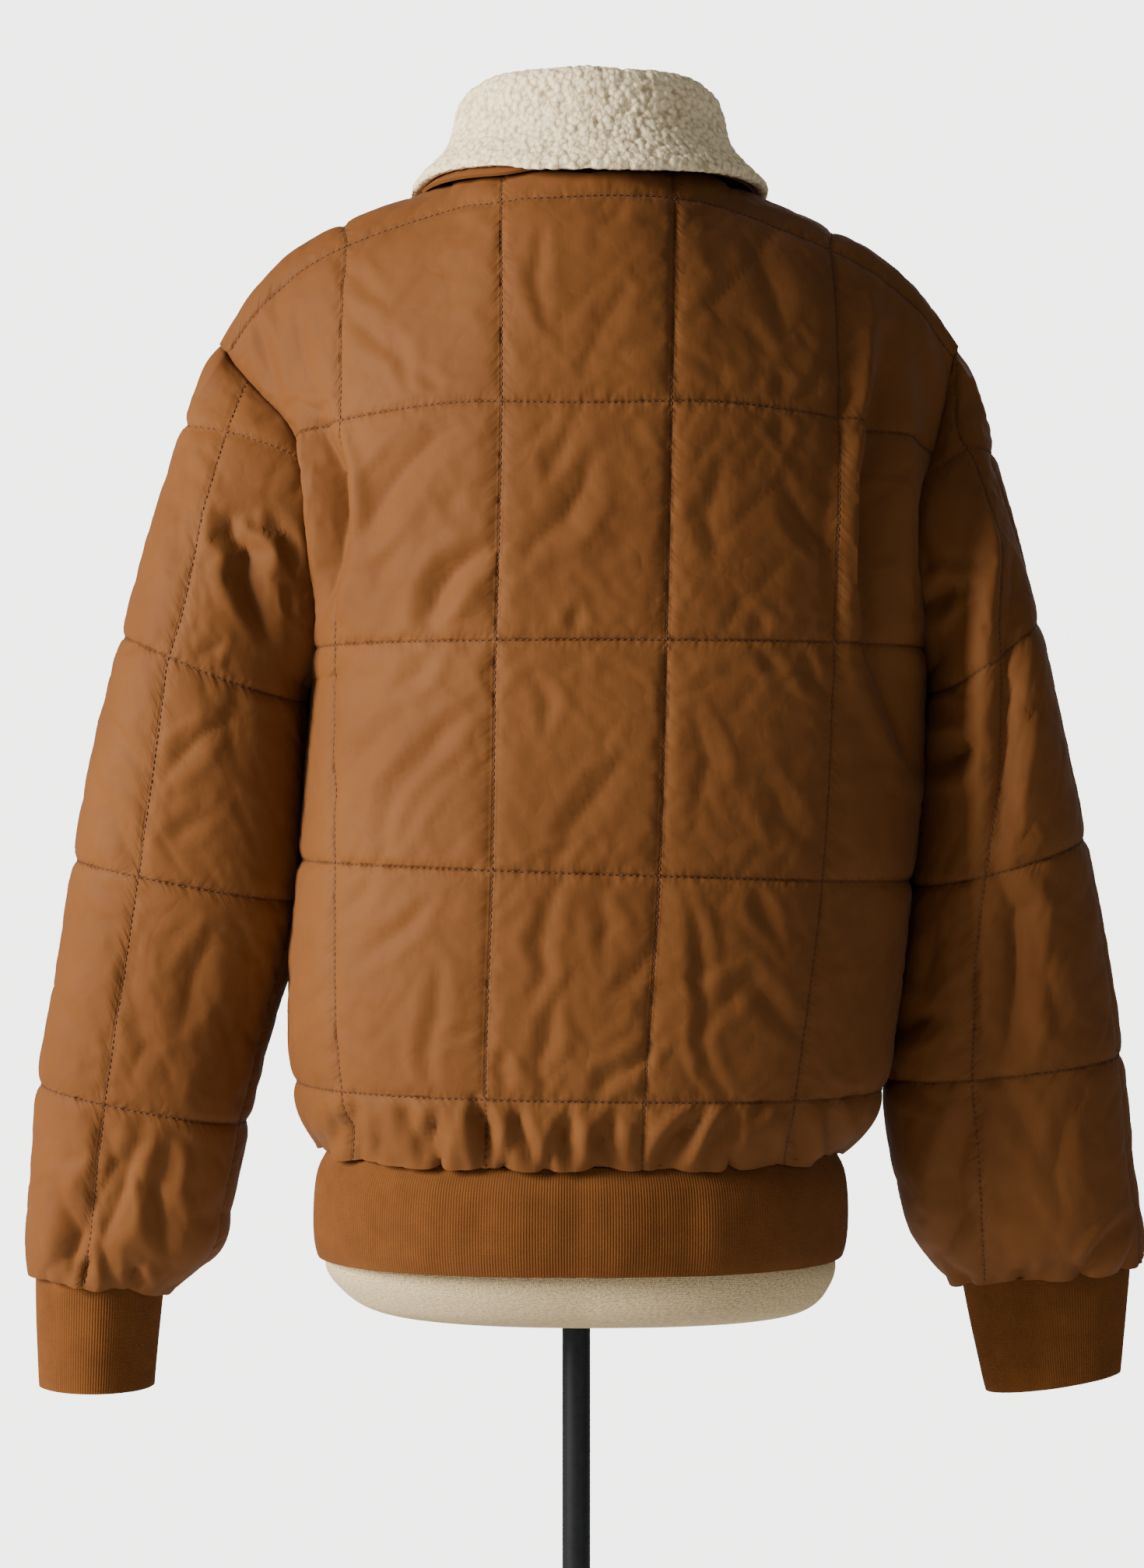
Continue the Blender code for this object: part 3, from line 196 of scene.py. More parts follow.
SLEEVE_RINGS = {
    Side.LEFT: (
        Ring(0.2400, 1.3684, 0.1715, 1.1835, 0.078, 0.000, 0.04),
        Ring(0.2590, 1.3096, 0.1760, 1.1815, 0.075, 0.000, 0.09),
        Ring(0.2850, 1.2110, 0.1790, 1.1750, 0.070, -0.002, 0.19),
        Ring(0.3030, 1.1420, 0.1795, 1.1170, 0.067, -0.005, 0.26),
        Ring(0.3165, 1.0715, 0.1810, 1.0470, 0.064, -0.010, 0.33),
        Ring(0.3280, 1.0010, 0.1935, 0.9770, 0.062, -0.016, 0.40),
        Ring(0.3410, 0.9300, 0.2085, 0.9070, 0.060, -0.022, 0.47),
        Ring(0.3465, 0.8700, 0.2210, 0.8520, 0.058, -0.028, 0.53),
        Ring(0.3495, 0.8300, 0.2300, 0.8230, 0.053, -0.031, 0.57),
        Ring(0.3505, 0.8080, 0.2560, 0.8020, 0.044, -0.034, 0.595),
    ),
    Side.RIGHT: (
        Ring(0.2540, 1.3684, 0.2260, 1.1910, 0.080, 0.000, 0.04),
        Ring(0.2673, 1.3096, 0.2295, 1.1890, 0.079, 0.000, 0.09),
        Ring(0.2890, 1.2220, 0.2310, 1.1800, 0.078, -0.002, 0.19),
        Ring(0.3055, 1.1500, 0.2280, 1.1200, 0.076, -0.006, 0.26),
        Ring(0.3208, 1.0847, 0.2220, 1.0550, 0.073, -0.011, 0.33),
        Ring(0.3350, 1.0150, 0.2140, 0.9920, 0.069, -0.017, 0.40),
        Ring(0.3460, 0.9485, 0.2055, 0.9330, 0.064, -0.022, 0.47),
        Ring(0.3530, 0.8800, 0.2100, 0.8680, 0.059, -0.027, 0.53),
        Ring(0.3600, 0.8350, 0.2200, 0.8290, 0.052, -0.031, 0.57),
        Ring(0.3600, 0.8120, 0.2400, 0.8010, 0.036, -0.034, 0.60),
    ),
}


class CuffSize(NamedTuple):
    """Middle and half width of a cuff's top and bottom, its slope, depth and place."""

    top_x: float
    bottom_x: float
    bottom_z: float
    slope: float
    top_half: float
    bottom_half: float
    half_depth: float
    y: float


CUFFS = {
    Side.LEFT: CuffSize(0.3045, 0.3065, 0.7365, 0.01, 0.0405, 0.0366, 0.0385, -0.034),
    Side.RIGHT: CuffSize(0.3000, 0.3050, 0.7390, 0.15, 0.0540, 0.0430, 0.0300, -0.034),
}


class CollarRow(NamedTuple):
    """The collar's section by angle from centre back."""

    angle: float
    fold: float
    lean: float
    spread: float
    edge: float
    sag: float


COLLAR = (
    CollarRow(0, 0.0735, 0.002, 0.0270, 0.0105, 0.28),
    CollarRow(45, 0.0680, 0.003, 0.0290, 0.0085, 0.26),
    CollarRow(90, 0.0520, 0.004, 0.0325, 0.0030, 0.22),
    CollarRow(130, 0.0480, 0.004, 0.0400, 0.0012, -0.10),
    CollarRow(160, 0.0460, 0.001, 0.0480, -0.0130, -0.25),
    CollarRow(180, 0.0450, 0.000, 0.0500, -0.0200, -0.30),
)


class FormRow(NamedTuple):
    """Half width, depths and middle of the dress form at a height."""

    z: float
    half_width: float
    back: float
    front: float
    centre: float


FORM_ROWS = (
    FormRow(0.7890, 0.098, 0.055, 0.055, -0.0130),
    FormRow(0.7905, 0.125, 0.080, 0.080, -0.0110),
    FormRow(0.7950, 0.141, 0.096, 0.096, -0.0080),
    FormRow(0.8040, 0.152, 0.104, 0.104, -0.0055),
    FormRow(0.8180, 0.1600, 0.108, 0.107, -0.0028),
    FormRow(0.8350, 0.1570, 0.108, 0.107, -0.0020),
    FormRow(0.8600, 0.1540, 0.107, 0.106, -0.0010),
    FormRow(0.9100, 0.149, 0.105, 0.104, 0.0),
    FormRow(0.9800, 0.136, 0.093, 0.096, 0.0),
    FormRow(1.0350, 0.127, 0.087, 0.092, 0.0),
    FormRow(1.0900, 0.132, 0.092, 0.100, 0.0),
    FormRow(1.1400, 0.141, 0.099, 0.116, 0.0),
    FormRow(1.1850, 0.146, 0.105, 0.124, 0.0),
)


# ---------------------------------------------------------------- small tools
def lengths_along(points: Array) -> Array:
    """Return how far each point of a path lies from its first."""
    return np.concatenate([[0], np.cumsum(np.linalg.norm(np.diff(points, axis=0), axis=1))])


def read_path(at: float | Array, along: Array, points: Array) -> Array:
    """Return points of a path at distances along it."""
    return np.stack([np.interp(at, along, points[:, k]) for k in range(3)], axis=-1)


def on_curve(t: float | Array, step: float | Array, values: Array, slopes: Array, i: int | Array) -> Array:
    """Read a smooth curve between its points i and i + 1.

    Args:
        t: share of the way, 0 to 1.
        step: length of that stretch.
        values: the curve's points.
        slopes: its slopes at them.
        i: which stretch.

    Returns:
        The values there.
    """
    return (
        (2 * t**3 - 3 * t**2 + 1) * values[i]
        + (t**3 - 2 * t**2 + t) * step * slopes[i]
        + (3 * t**2 - 2 * t**3) * values[i + 1]
        + (t**3 - t**2) * step * slopes[i + 1]
    )


def table_at(rows: Sequence[NamedTuple], key: str, value: float) -> NamedTuple:
    """Read a table of sizes on a smooth curve through its rows.

    Args:
        rows: the table, in order of its key.
        key: name of the column that value belongs to.
        value: where to read; it is kept within the table.

    Returns:
        A row of the same kind.
    """
    keys = np.array([getattr(row, key) for row in rows], float)
    columns = np.array([tuple(row) for row in rows], float)
    value = float(np.clip(value, min(keys), max(keys)))
    slopes = np.gradient(columns, keys, axis=0)
    i = int(np.clip(np.searchsorted(keys, value) - 1, 0, len(keys) - 2))
    step = keys[i + 1] - keys[i]
    return type(rows[0])(*on_curve((value - keys[i]) / step, step, columns, slopes, i))


def between(stops: Sequence[float], counts: Sequence[int], ease: float = 0.45) -> Array:
    """Divide each stretch between two stops, with shorter steps beside the stops.

    Args:
        stops: ends of the stretches.
        counts: steps in each stretch.
        ease: 0 for equal steps, 1 for a full cosine.

    Returns:
        All the positions, the first stop included.
    """
    values = [float(stops[0])]
    for low, high, count in zip(stops, stops[1:], counts):
        t = np.arange(1, count + 1) / count
        t = t * (1 - ease) + (1 - np.cos(pi * t)) / 2 * ease
        values += list(low + (high - low) * t)
    return np.array(values)


def unit(vectors: Array) -> Array:
    """Return vectors scaled to length one."""
    return vectors / np.maximum(np.linalg.norm(vectors, axis=-1, keepdims=True), 1e-9)


def quarter(half_width: float, depth: float, shares: Array, exponent: float) -> tuple[Array, Array]:
    """Return points by share of the way along a quarter of a superellipse.

    Args:
        half_width: its reach along X.
        depth: its reach along Y, where share 0 lies.
        shares: 0 to 1.
        exponent: 2 for an ellipse, more for a squarer one.

    Returns:
        The X and Y coordinates.
    """
    angle = np.linspace(0, pi / 2, 961)
    x = half_width * np.sin(angle) ** (2 / exponent)
    y = depth * np.cos(angle) ** (2 / exponent)
    along = np.concatenate([[0], np.cumsum(np.hypot(np.diff(x), np.diff(y)))])
    reach = np.asarray(shares) * along[-1]
    return np.interp(reach, along, x), np.interp(reach, along, y)


def noise(points: Array, seed: int) -> Array:
    """Return smooth noise that repeats from run to run.

    Args:
        points: coordinates in wavelengths, the last axis holding 3 of them.
        seed: which pattern.

    Returns:
        Values from -1 to 1.
    """
    cell = np.floor(points).astype(np.int64)
    t = points - cell
    t = t * t * (3 - 2 * t)
    total = np.zeros(points.shape[:-1])
    for corner in product((0, 1), repeat=3):
        total += scattered(cell + corner, seed) * np.prod(np.where(corner, t, 1 - t), axis=-1)
    return total


def scattered(cells: Array, seed: int) -> Array:
    """Return one value from -1 to 1 for each cell of a lattice, the same in every run.

    Args:
        cells: whole numbers, the last axis holding 3 of them.
        seed: which pattern.

    Returns:
        The values.
    """
    key = (cells * np.array((73856093, 19349663, 83492791))).sum(-1) + seed * 7919
    key = ((key ^ (key >> 13)) * 1274126177) & 0x7FFFFFFF
    key = ((key ^ (key >> 15)) * 668265263) & 0x7FFFFFFF
    return ((key >> 8) & 0xFFFF) / 32767.5 - 1


def domes(points: Array, seed: int) -> Array:
    """Return rounded bumps packed side by side.

    Args:
        points: coordinates in bump widths, the last axis holding 3 of them.
        seed: which pattern.

    Returns:
        1 on the tops and 0 in the cracks between them.
    """
    cell = np.floor(points).astype(np.int64)
    nearest = np.full(points.shape[:-1], 9.0)
    for step in product((-1, 0, 1), repeat=3):
        corner = cell + step
        centre = corner + 0.5 + 0.4 * np.stack([scattered(corner, seed + k) for k in range(3)], axis=-1)
        nearest = np.minimum(nearest, ((points - centre) ** 2).sum(-1))
    return np.clip(1 - 1.3 * nearest, 0, 1)


def eased(grid: Array, strength: Array, reach: int) -> Array:
    """Round off kinks that cross a grid's second axis, with its first and last points kept.

    Args:
        grid: points along two axes.
        strength: 0 to leave a point and 1 to round it fully; it spreads over both axes.
        reach: how many points a kink is spread over.

    Returns:
        The eased grid.
    """
    pad, count = 3 * reach, grid.shape[1]
    wide = np.concatenate([
        2 * grid[:, :1] - grid[:, pad:0:-1], grid, 2 * grid[:, -1:] - grid[:, -2:-pad - 2:-1],
    ], axis=1)
    kernel = np.exp(-0.5 * (np.arange(-pad, pad + 1) / reach) ** 2)
    kernel /= kernel.sum()
    soft = sum(weight * wide[:, k:k + count] for k, weight in enumerate(kernel))
    return grid + (soft - grid) * strength[..., None]


def along_line(grid: Array, line: Array) -> Array:
    """Read a grid along a line that has one place, or none, in each of its rows.

    Args:
        grid: rows x columns x values.
        line: the line's column in each row, whole or between two columns.

    Returns:
        rows x values; not a number where the line has no place.
    """
    known = np.nan_to_num(line)
    low = np.clip(known.astype(int), 0, grid.shape[1] - 2)
    t = (known - low)[:, None]
    rows = np.arange(len(grid))
    values = grid[rows, low] * (1 - t) + grid[rows, low + 1] * t
    return np.where(np.isnan(line)[:, None], np.nan, values)


def normals_of(grid: Array, closed: bool = False) -> Array:
    """Return unit normals of a grid of points.

    Args:
        grid: rows x columns x 3.
        closed: whether the last column repeats the first.

    Returns:
        One normal a point.
    """
    if closed:
        ring = grid[:, :-1]
        along = np.roll(ring, -1, 1) - np.roll(ring, 1, 1)
        along = np.concatenate([along, along[:, :1]], axis=1)
    else:
        along = np.gradient(grid, axis=1)
    return unit(np.cross(along, np.gradient(grid, axis=0)))


def flat_lengths(grid: Array) -> Array:
    """Return how far along the cloth each point lies.

    Args:
        grid: rows x columns x 3.

    Returns:
        rows x columns x 2: metres across from the first column, and up from the first row.
    """
    across = np.linalg.norm(np.diff(grid, axis=1), axis=2)
    up = np.linalg.norm(np.diff(grid, axis=0), axis=2)
    flat = np.zeros((*grid.shape[:2], 2))
    flat[:, 1:, 0] = np.cumsum(across, axis=1)
    flat[:, :, 0] -= flat[:, grid.shape[1] // 2, None, 0]
    flat[1:, :, 1] = np.cumsum(up, axis=0)
    return flat


def grid_mesh(grid: Array, flat: Array, closed: bool) -> bmesh.types.BMesh:
    """Make a grid of faces through given points.

    Args:
        grid: rows x columns x 3.
        flat: rows x columns x 2, the cloth's own metres, kept as the UV map.
        closed: weld the last column to the first.

    Returns:
        A bmesh whose int layer "place" numbers the points.
    """
    rows, columns = grid.shape[:2]
    bm = bmesh.new()
    bmesh.ops.create_grid(bm, x_segments=columns - 1, y_segments=rows - 1, size=1)
    place = bm.verts.layers.int.new("place")
    uv = bm.loops.layers.uv.new("cloth")
    points = grid.reshape(-1, 3).tolist()
    lengths = flat.reshape(-1, 2).tolist()
    for i, vert in enumerate(bm.verts):
        vert[place] = i
        vert.co = points[i]
    for face in bm.faces:
        for loop in face.loops:
            loop[uv].uv = lengths[loop.vert[place]]
    if closed:
        ring = [v for v in bm.verts if v[place] % columns in (0, columns - 1)]
        bmesh.ops.remove_doubles(bm, verts=ring, dist=1e-6)
    return bm


def show(name: str, bm: bmesh.types.BMesh, finish: Material,
         nodes: Sequence[str] = (), sharp: float = 60.0) -> Piece:
    """Turn a bmesh into a piece that rides with the jacket.

    Args:
        name: the piece's name.
        bm: its shape, which is used up.
        finish: its material.
        nodes: the CAD nodes that it stands for.
        sharp: edges over this angle, in degrees, are shaded sharp.

    Returns:
        The new object.
    """
    bmesh.ops.recalc_face_normals(bm, faces=bm.faces)
    mesh = bpy.data.meshes.new(name)
    bm.to_mesh(mesh)
    bm.free()
    mesh.shade_smooth()
    mesh.set_sharp_from_angle(angle=radians(sharp))
    mesh.materials.append(finish)
    obj = bpy.data.objects.new(name, mesh)
    bpy.context.scene.collection.objects.link(obj)
    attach(obj, JACKET)
    if nodes:
        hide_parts(*nodes)
    LOG.info("%s: %d faces", name, len(mesh.polygons))
    return obj


def wall(name: str, inner: Array, outer: Array, finish: Material,
         nodes: Sequence[str] = (), closed: bool = False, flat: Array | None = None,
         marks: dict[str, Array] | None = None) -> Piece:
    """Build the closed wall between two grids of points.

    Args:
        name: the piece's name.
        inner: rows x columns x 3.
        outer: the same, on the outside.
        finish: its material.
        nodes: the CAD nodes that it stands for.
        closed: whether the last column repeats the first.
        flat: the cloth's own metres, where they aren't measured on the outside.
        marks: attributes that the finish reads, one value a point.

    Returns:
        The new object.
    """
    lengths = flat_lengths(outer) if flat is None else flat
    bm = grid_mesh(inner, lengths, closed)
    place = bm.verts.layers.int["place"]
    points = outer.reshape(-1, 3).tolist()
    raised = bmesh.ops.extrude_face_region(bm, geom=bm.faces[:], use_keep_orig=True)
    for vert in raised["geom"]:
        if isinstance(vert, bmesh.types.BMVert):
            vert.co = points[vert[place]]
    for label, values in (marks or {}).items():
        layer = bm.verts.layers.float.new(label)
        numbers = values.reshape(-1).tolist()
        for vert in bm.verts:
            vert[layer] = numbers[vert[place]]
    return show(name, bm, finish, nodes)


# ---------------------------------------------------------------- camera
@dataclass(frozen=True)
class View:
    """The camera behind the wearer, and where it sees a point."""

    eye: Point = (0.0027, 2.1, 1.12)
    scale: float = 0.00049  # metres a picture point at the stand's axis
    axis_column: float = 740.5
    level_row: float = 1007.0
    sensor: float = 36.0
    picture_height: int = 2014

    def build(self) -> None:
        """Stand the camera in its place."""
        data = bpy.data.cameras.new("camera")
        data.sensor_width = self.sensor
        data.lens = self.sensor * self.eye[1] / (self.picture_height * self.scale)
        camera = bpy.data.objects.new("camera", data)
        camera.location = self.eye
        camera.rotation_euler = (radians(90), 0, radians(180))
        bpy.context.scene.collection.objects.link(camera)
        bpy.context.scene.camera = camera

    def seen(self, points: Array) -> Array:
        """Return the picture column and row of points.

        Args:
            points: any shape ending in 3.

        Returns:
            The same shape ending in 2.
        """
        size = self.scale * (self.eye[1] - points[..., 1]) / self.eye[1]
        column = self.axis_column - points[..., 0] / size
        return np.stack([column, self.level_row - (points[..., 2] - self.eye[2]) / size], axis=-1)


VIEW = View()


# ---------------------------------------------------------------- creases
class Crease(NamedTuple):
    """A soft trough (or with a depth below 0 a ridge) along a path of picture points."""

    depth: float
    reach: float
    path: tuple[tuple[float, float], ...]


def crease(depth: float, reach: float, *path: tuple[float, float]) -> Crease:
    """Return a crease from its depth and half width in millimetres and its path."""
    return Crease(depth / 1000, reach / 1000, path)


BACK_CREASES = (
    # the two large folds beside the armholes
    crease(14, 9, (421, 530), (424, 560), (438, 610), (439, 660), (431, 740), (422, 810)),
    crease(-10, 9, (396, 540), (404, 580), (414, 640), (412, 700), (408, 780)),
    crease(14, 11, (1125, 440), (1121, 511), (1116, 566), (1108, 620), (1108, 729), (1117, 843),
           (1140, 919), (1157, 985)),
    crease(-7, 8, (1102, 440), (1098, 511), (1090, 580), (1084, 660), (1084, 760), (1096, 860)),
    crease(-4, 13, (1105, 370), (1109, 430), (1097, 501), (1091, 535)),
    crease(-5, 16, (1147, 470), (1150, 560), (1155, 680), (1150, 800)),
    crease(5, 10, (1187, 390), (1203, 446), (1219, 501), (1226, 536)),
    crease(3.5, 8, (1146, 905), (1150, 950), (1165, 990)),
    crease(5, 7, (338, 400), (351, 452), (366, 500), (374, 528)),
    crease(3.5, 8, (394, 400), (400, 455), (414, 495), (426, 520)),
    crease(3, 8, (377, 360), (362, 395), (372, 430)),
    crease(2.5, 7, (411, 640), (393, 658), (384, 672)),
    # left column of cells
    crease(2.2, 9, (441, 341), (476, 373), (500, 392)),
    crease(3, 10, (452, 399), (489, 437), (519, 470)),
    crease(2.6, 8, (510, 424), (527, 470), (529, 497)),
    crease(2.4, 7, (545, 480), (566, 497), (570, 510)),
    crease(5.5, 11, (604, 545), (566, 566), (527, 604), (501, 640), (484, 675), (467, 703), (461, 732)),
    crease(3.4, 9, (527, 694), (501, 733), (487, 770)),
    crease(6, 9, (636, 701), (613, 716), (587, 737), (570, 763), (558, 795), (566, 816)),
    crease(-2.5, 13, (620, 740), (600, 770), (590, 800)),
    crease(2.5, 8, (600, 626), (585, 650), (580, 668)),
    crease(3.4, 9, (572, 830), (545, 864), (514, 895)),
    crease(5, 12, (525, 917), (486, 961), (457, 995), (430, 1036)),
    crease(5, 10, (622, 903), (593, 927), (569, 951), (545, 985), (520, 1014), (506, 1048),
           (501, 1073), (511, 1109)),
    crease(3.6, 8, (598, 980), (569, 1000), (545, 1029), (530, 1063), (519, 1094)),
    crease(2.6, 6, (606, 999), (620, 992), (636, 983)),
    crease(2.6, 6, (430, 876), (445, 868), (460, 856)),
    crease(3, 9, (493, 1132), (462, 1165), (441, 1184)),
    crease(4, 9, (558, 1156), (525, 1194), (491, 1219), (470, 1245)),
    crease(3.6, 9, (571, 1238), (564, 1306), (554, 1355), (564, 1392)),
    crease(2.6, 6, (624, 1314), (593, 1326), (572, 1337)),
    crease(2.4, 8, (470, 1290), (462, 1320), (476, 1350)),
    crease(3, 9, (430, 1270), (409, 1290), (398, 1318)),
    # middle column
    crease(2.8, 9, (731, 566), (712, 596), (702, 620)),
    crease(4.4, 12, (762, 590), (746, 634), (725, 669), (694, 694), (675, 722)),
    crease(-2, 14, (790, 640), (765, 680), (735, 715)),
    crease(3, 7, (744, 776), (739, 795), (736, 815)),
    crease(2.6, 8, (700, 300), (690, 360), (700, 420)),
    crease(2, 10, (800, 380), (770, 430), (745, 490)),
    crease(3, 12, (799, 976), (749, 1044), (713, 1094)),
    crease(2.4, 7, (708, 1119), (720, 1097), (736, 1081)),
    crease(2.4, 8, (690, 870), (705, 900), (700, 940)),
    crease(3.4, 9, (722, 1128), (705, 1170), (695, 1209), (700, 1248), (684, 1290)),
    crease(4, 9, (712, 1284), (705, 1330), (695, 1364), (700, 1410)),
    crease(4, 8, (654, 1342), (646, 1369), (652, 1405)),
    crease(3.4, 8, (799, 1358), (778, 1379), (761, 1405)),
    crease(4.4, 8, (842, 1338), (809, 1369), (778, 1390)),
    crease(3, 9, (836, 1214), (809, 1257), (783, 1279)),
    crease(2.6, 9, (770, 1150), (780, 1190), (772, 1230)),
    # right column
    crease(2.8, 8, (992, 482), (996, 500), (998, 518)),
    crease(-2.5, 10, (1088, 462), (1064, 497), (1044, 517)),
    crease(2.4, 12, (960, 330), (985, 380), (1000, 430)),
    crease(2.8, 8, (992, 538), (996, 556), (998, 572)),
    crease(3, 12, (1000, 626), (1028, 674), (1066, 716)),
    crease(2.6, 8, (964, 790), (972, 803), (978, 815)),
    crease(2.4, 12, (920, 600), (905, 660), (915, 720)),
    crease(3.6, 8, (1026, 836), (1037, 873), (1064, 900)),
    crease(2.6, 7, (972, 836), (981, 850), (991, 862)),
    crease(2.2, 12, (890, 920), (905, 980), (890, 1040)),
    crease(2.6, 12, (1030, 1080), (1000, 1050), (985, 1000)),
    crease(3.6, 8, (875, 1138), (892, 1189), (897, 1238), (901, 1296), (897, 1335), (906, 1369),
           (926, 1398), (932, 1424)),
    crease(3, 8, (963, 1138), (974, 1170), (991, 1202)),
    crease(3, 10, (962, 1244), (926, 1286), (904, 1314)),
    crease(3, 10, (948, 1240), (989, 1296), (1025, 1338)),
    crease(4.4, 7, (991, 1390), (969, 1422), (943, 1450)),
    crease(2.6, 7, (1098, 1396), (1085, 1405), (1074, 1415)),
    # gathers over the hem band
    crease(7.8, 6.4, (437, 1425), (441, 1450), (438, 1478)),
    crease(7.8, 6.4, (463, 1410), (460, 1445), (468, 1482)),
    crease(6.1, 6.4, (520, 1415), (540, 1450), (552, 1486)),
    crease(8.5, 6.4, (566, 1425), (560, 1460), (566, 1488)),
    crease(8.5, 6.4, (612, 1408), (624, 1450), (629, 1492)),
    crease(6.1, 5.6, (665, 1420), (672, 1455), (690, 1494)),
    crease(8.2, 6.4, (732, 1424), (727, 1460), (735, 1496)),
    crease(6.8, 6.4, (790, 1425), (778, 1460), (785, 1496)),
    crease(9.2, 6.4, (903, 1425), (867, 1461), (836, 1497)),
    crease(7.5, 6.4, (948, 1420), (918, 1460), (893, 1497)),
    crease(8.5, 6.4, (1025, 1425), (1019, 1471), (1004, 1495)),
    crease(6.8, 6.4, (1062, 1420), (1060, 1450), (1068, 1486)),
)
SLEEVE_LINES = {
    Side.LEFT: (
        (319, 492), (292, 574), (266, 663), (237, 797), (219, 851), (208, 938), (181, 1128),
        (139, 1405), (109, 1652),
    ),
    Side.RIGHT: (
        (1228, 560), (1246, 590), (1262, 650), (1279, 704), (1287, 872), (1285, 1000), (1270, 1110),
        (1255, 1250),
        (1251, 1400), (1260, 1491), (1269, 1663),
    ),
}
SLEEVE_CREASES = {
    Side.LEFT: (
        crease(7.5, 9, (318, 662), (297, 670), (301, 690), (317, 712), (316, 740), (324, 772), (337, 815)),
        crease(-4, 10, (318, 690), (350, 705), (367, 740)),
        crease(4.5, 8, (345, 650), (362, 690), (372, 740)),
        crease(3.4, 10, (259, 587), (253, 620), (240, 653), (237, 735)),
        crease(3, 7, (165, 845), (178, 835), (190, 827)),
        crease(3, 7, (258, 843), (271, 834), (283, 826)),
        crease(4, 10, (272, 931), (243, 962), (213, 998)),
        crease(3, 9, (154, 920), (172, 957), (190, 992)),
        crease(3, 9, (216, 1078), (240, 1062), (268, 1044)),
        crease(3.4, 10, (138, 1006), (160, 1060), (182, 1120)),
        crease(2.8, 8, (132, 1134), (152, 1148), (172, 1164)),
        crease(3.4, 11, (268, 1192), (248, 1250), (234, 1320)),
        crease(3, 9, (72, 1246), (98, 1304), (124, 1344)),
        crease(3.6, 10, (188, 1180), (170, 1268), (188, 1340), (164, 1398)),
        crease(3.4, 12, (316, 1228), (308, 1292), (284, 1352), (258, 1414)),
        crease(5.4, 9, (134, 1432), (152, 1490), (122, 1550), (98, 1616), (88, 1650)),
        crease(5.4, 7, (80, 1516), (104, 1580), (92, 1640)),
        crease(5.4, 8, (182, 1444), (164, 1520), (134, 1592), (146, 1648)),
        crease(5.4, 7.6, (218, 1456), (200, 1520), (212, 1615)),
        crease(8, 5.1, (120, 1608), (112, 1630), (118, 1654)),
        crease(6.4, 5.1, (168, 1615), (176, 1636), (172, 1654)),
        crease(3, 12, (300, 880), (290, 930), (300, 990)),
    ),
    Side.RIGHT: (
        crease(8, 9, (1182, 779), (1203, 767), (1236, 757)),
        crease(-3.5, 9, (1196, 752), (1222, 742), (1250, 752)),
        crease(5, 8, (1190, 700), (1196, 725), (1190, 745)),
        crease(4, 7, (1190, 882), (1214, 875), (1243, 890)),
        crease(8, 9, (1188, 986), (1225, 973), (1262, 958)),
        crease(-3.5, 10, (1195, 940), (1235, 935), (1262, 925)),
        crease(7, 8, (1257, 555), (1275, 620), (1293, 700), (1296, 760), (1293, 870), (1293, 946),
               (1286, 1052), (1278, 1110)),
        crease(-4, 10, (1240, 580), (1262, 650), (1276, 730), (1274, 830), (1270, 940), (1262, 1050)),
        crease(8, 11, (1277, 1109), (1302, 1166), (1304, 1250), (1298, 1316), (1280, 1374)),
        crease(4, 7, (1268, 1220), (1250, 1268), (1252, 1340)),
        crease(7, 10, (1152, 1330), (1184, 1310), (1212, 1305)),
        crease(5, 9, (1146, 1362), (1178, 1394), (1206, 1416)),
        crease(6.5, 9, (1252, 1408), (1240, 1460), (1232, 1508), (1238, 1556), (1220, 1598), (1194, 1608)),
        crease(4, 9, (1215, 1180), (1205, 1240), (1190, 1290)),
        crease(3.4, 10, (1280, 1376), (1310, 1430), (1330, 1480)),
        crease(8, 5.1, (1303, 1655), (1312, 1634), (1324, 1612)),
        crease(8, 5.1, (1380, 1638), (1410, 1596), (1433, 1564)),
        crease(5.4, 5.1, (1328, 1650), (1333, 1640), (1340, 1628)),
        crease(3, 10, (1350, 900), (1365, 960), (1360, 1020)),
        crease(3, 11, (1350, 1180), (1340, 1250), (1352, 1320)),
        crease(3, 11, (1400, 1200), (1395, 1260), (1405, 1320)),
        crease(3, 10, (1360, 1440), (1352, 1500), (1362, 1560)),
    ),
}


DEEP = 0.0052  # a fold from this depth on is a large one
SOFTER = (0.6, 0.72)  # what the small ones keep of their depth and reach
HIDDEN_DEPTH = 0.0045  # of the large folds on the side that faces away
HIDDEN_DROP = 0.017  # and how much lower its folds lie
FACING = (2.2, 0.25)  # how fast creases fade where the cloth turns from the camera


def pressed(points: Array, normals: Array, creases: Sequence[Crease]) -> Array:
    """Return how far the creases move cloth along its normals.

    The creases are drawn as seen from behind.  The side that faces away gets
    the same ones, mirrored and a little lower, with the large folds shallower.

    Args:
        points: rows x columns x 3.
        normals: the same shape.
        creases: the folds of this piece.

    Returns:
        Offsets in metres, rows x columns.
    """
    total = np.zeros(points.shape[:2])
    for face in (Face.BACK, Face.FRONT):
        facing = np.clip(normals[..., 1] * face * FACING[0] - FACING[1], 0, 1)
        shown = points.copy()
        if face == Face.FRONT:
            shown[..., 1] *= -1
            shown[..., 2] += HIDDEN_DROP
        where = VIEW.seen(shown)
        for item in creases:
            if abs(item.depth) < DEEP:
                item = item._replace(depth=item.depth * SOFTER[0], reach=item.reach * SOFTER[1])
            elif face == Face.FRONT:
                item = item._replace(depth=HIDDEN_DEPTH)
            total += facing * one_crease(where, item)
    return total


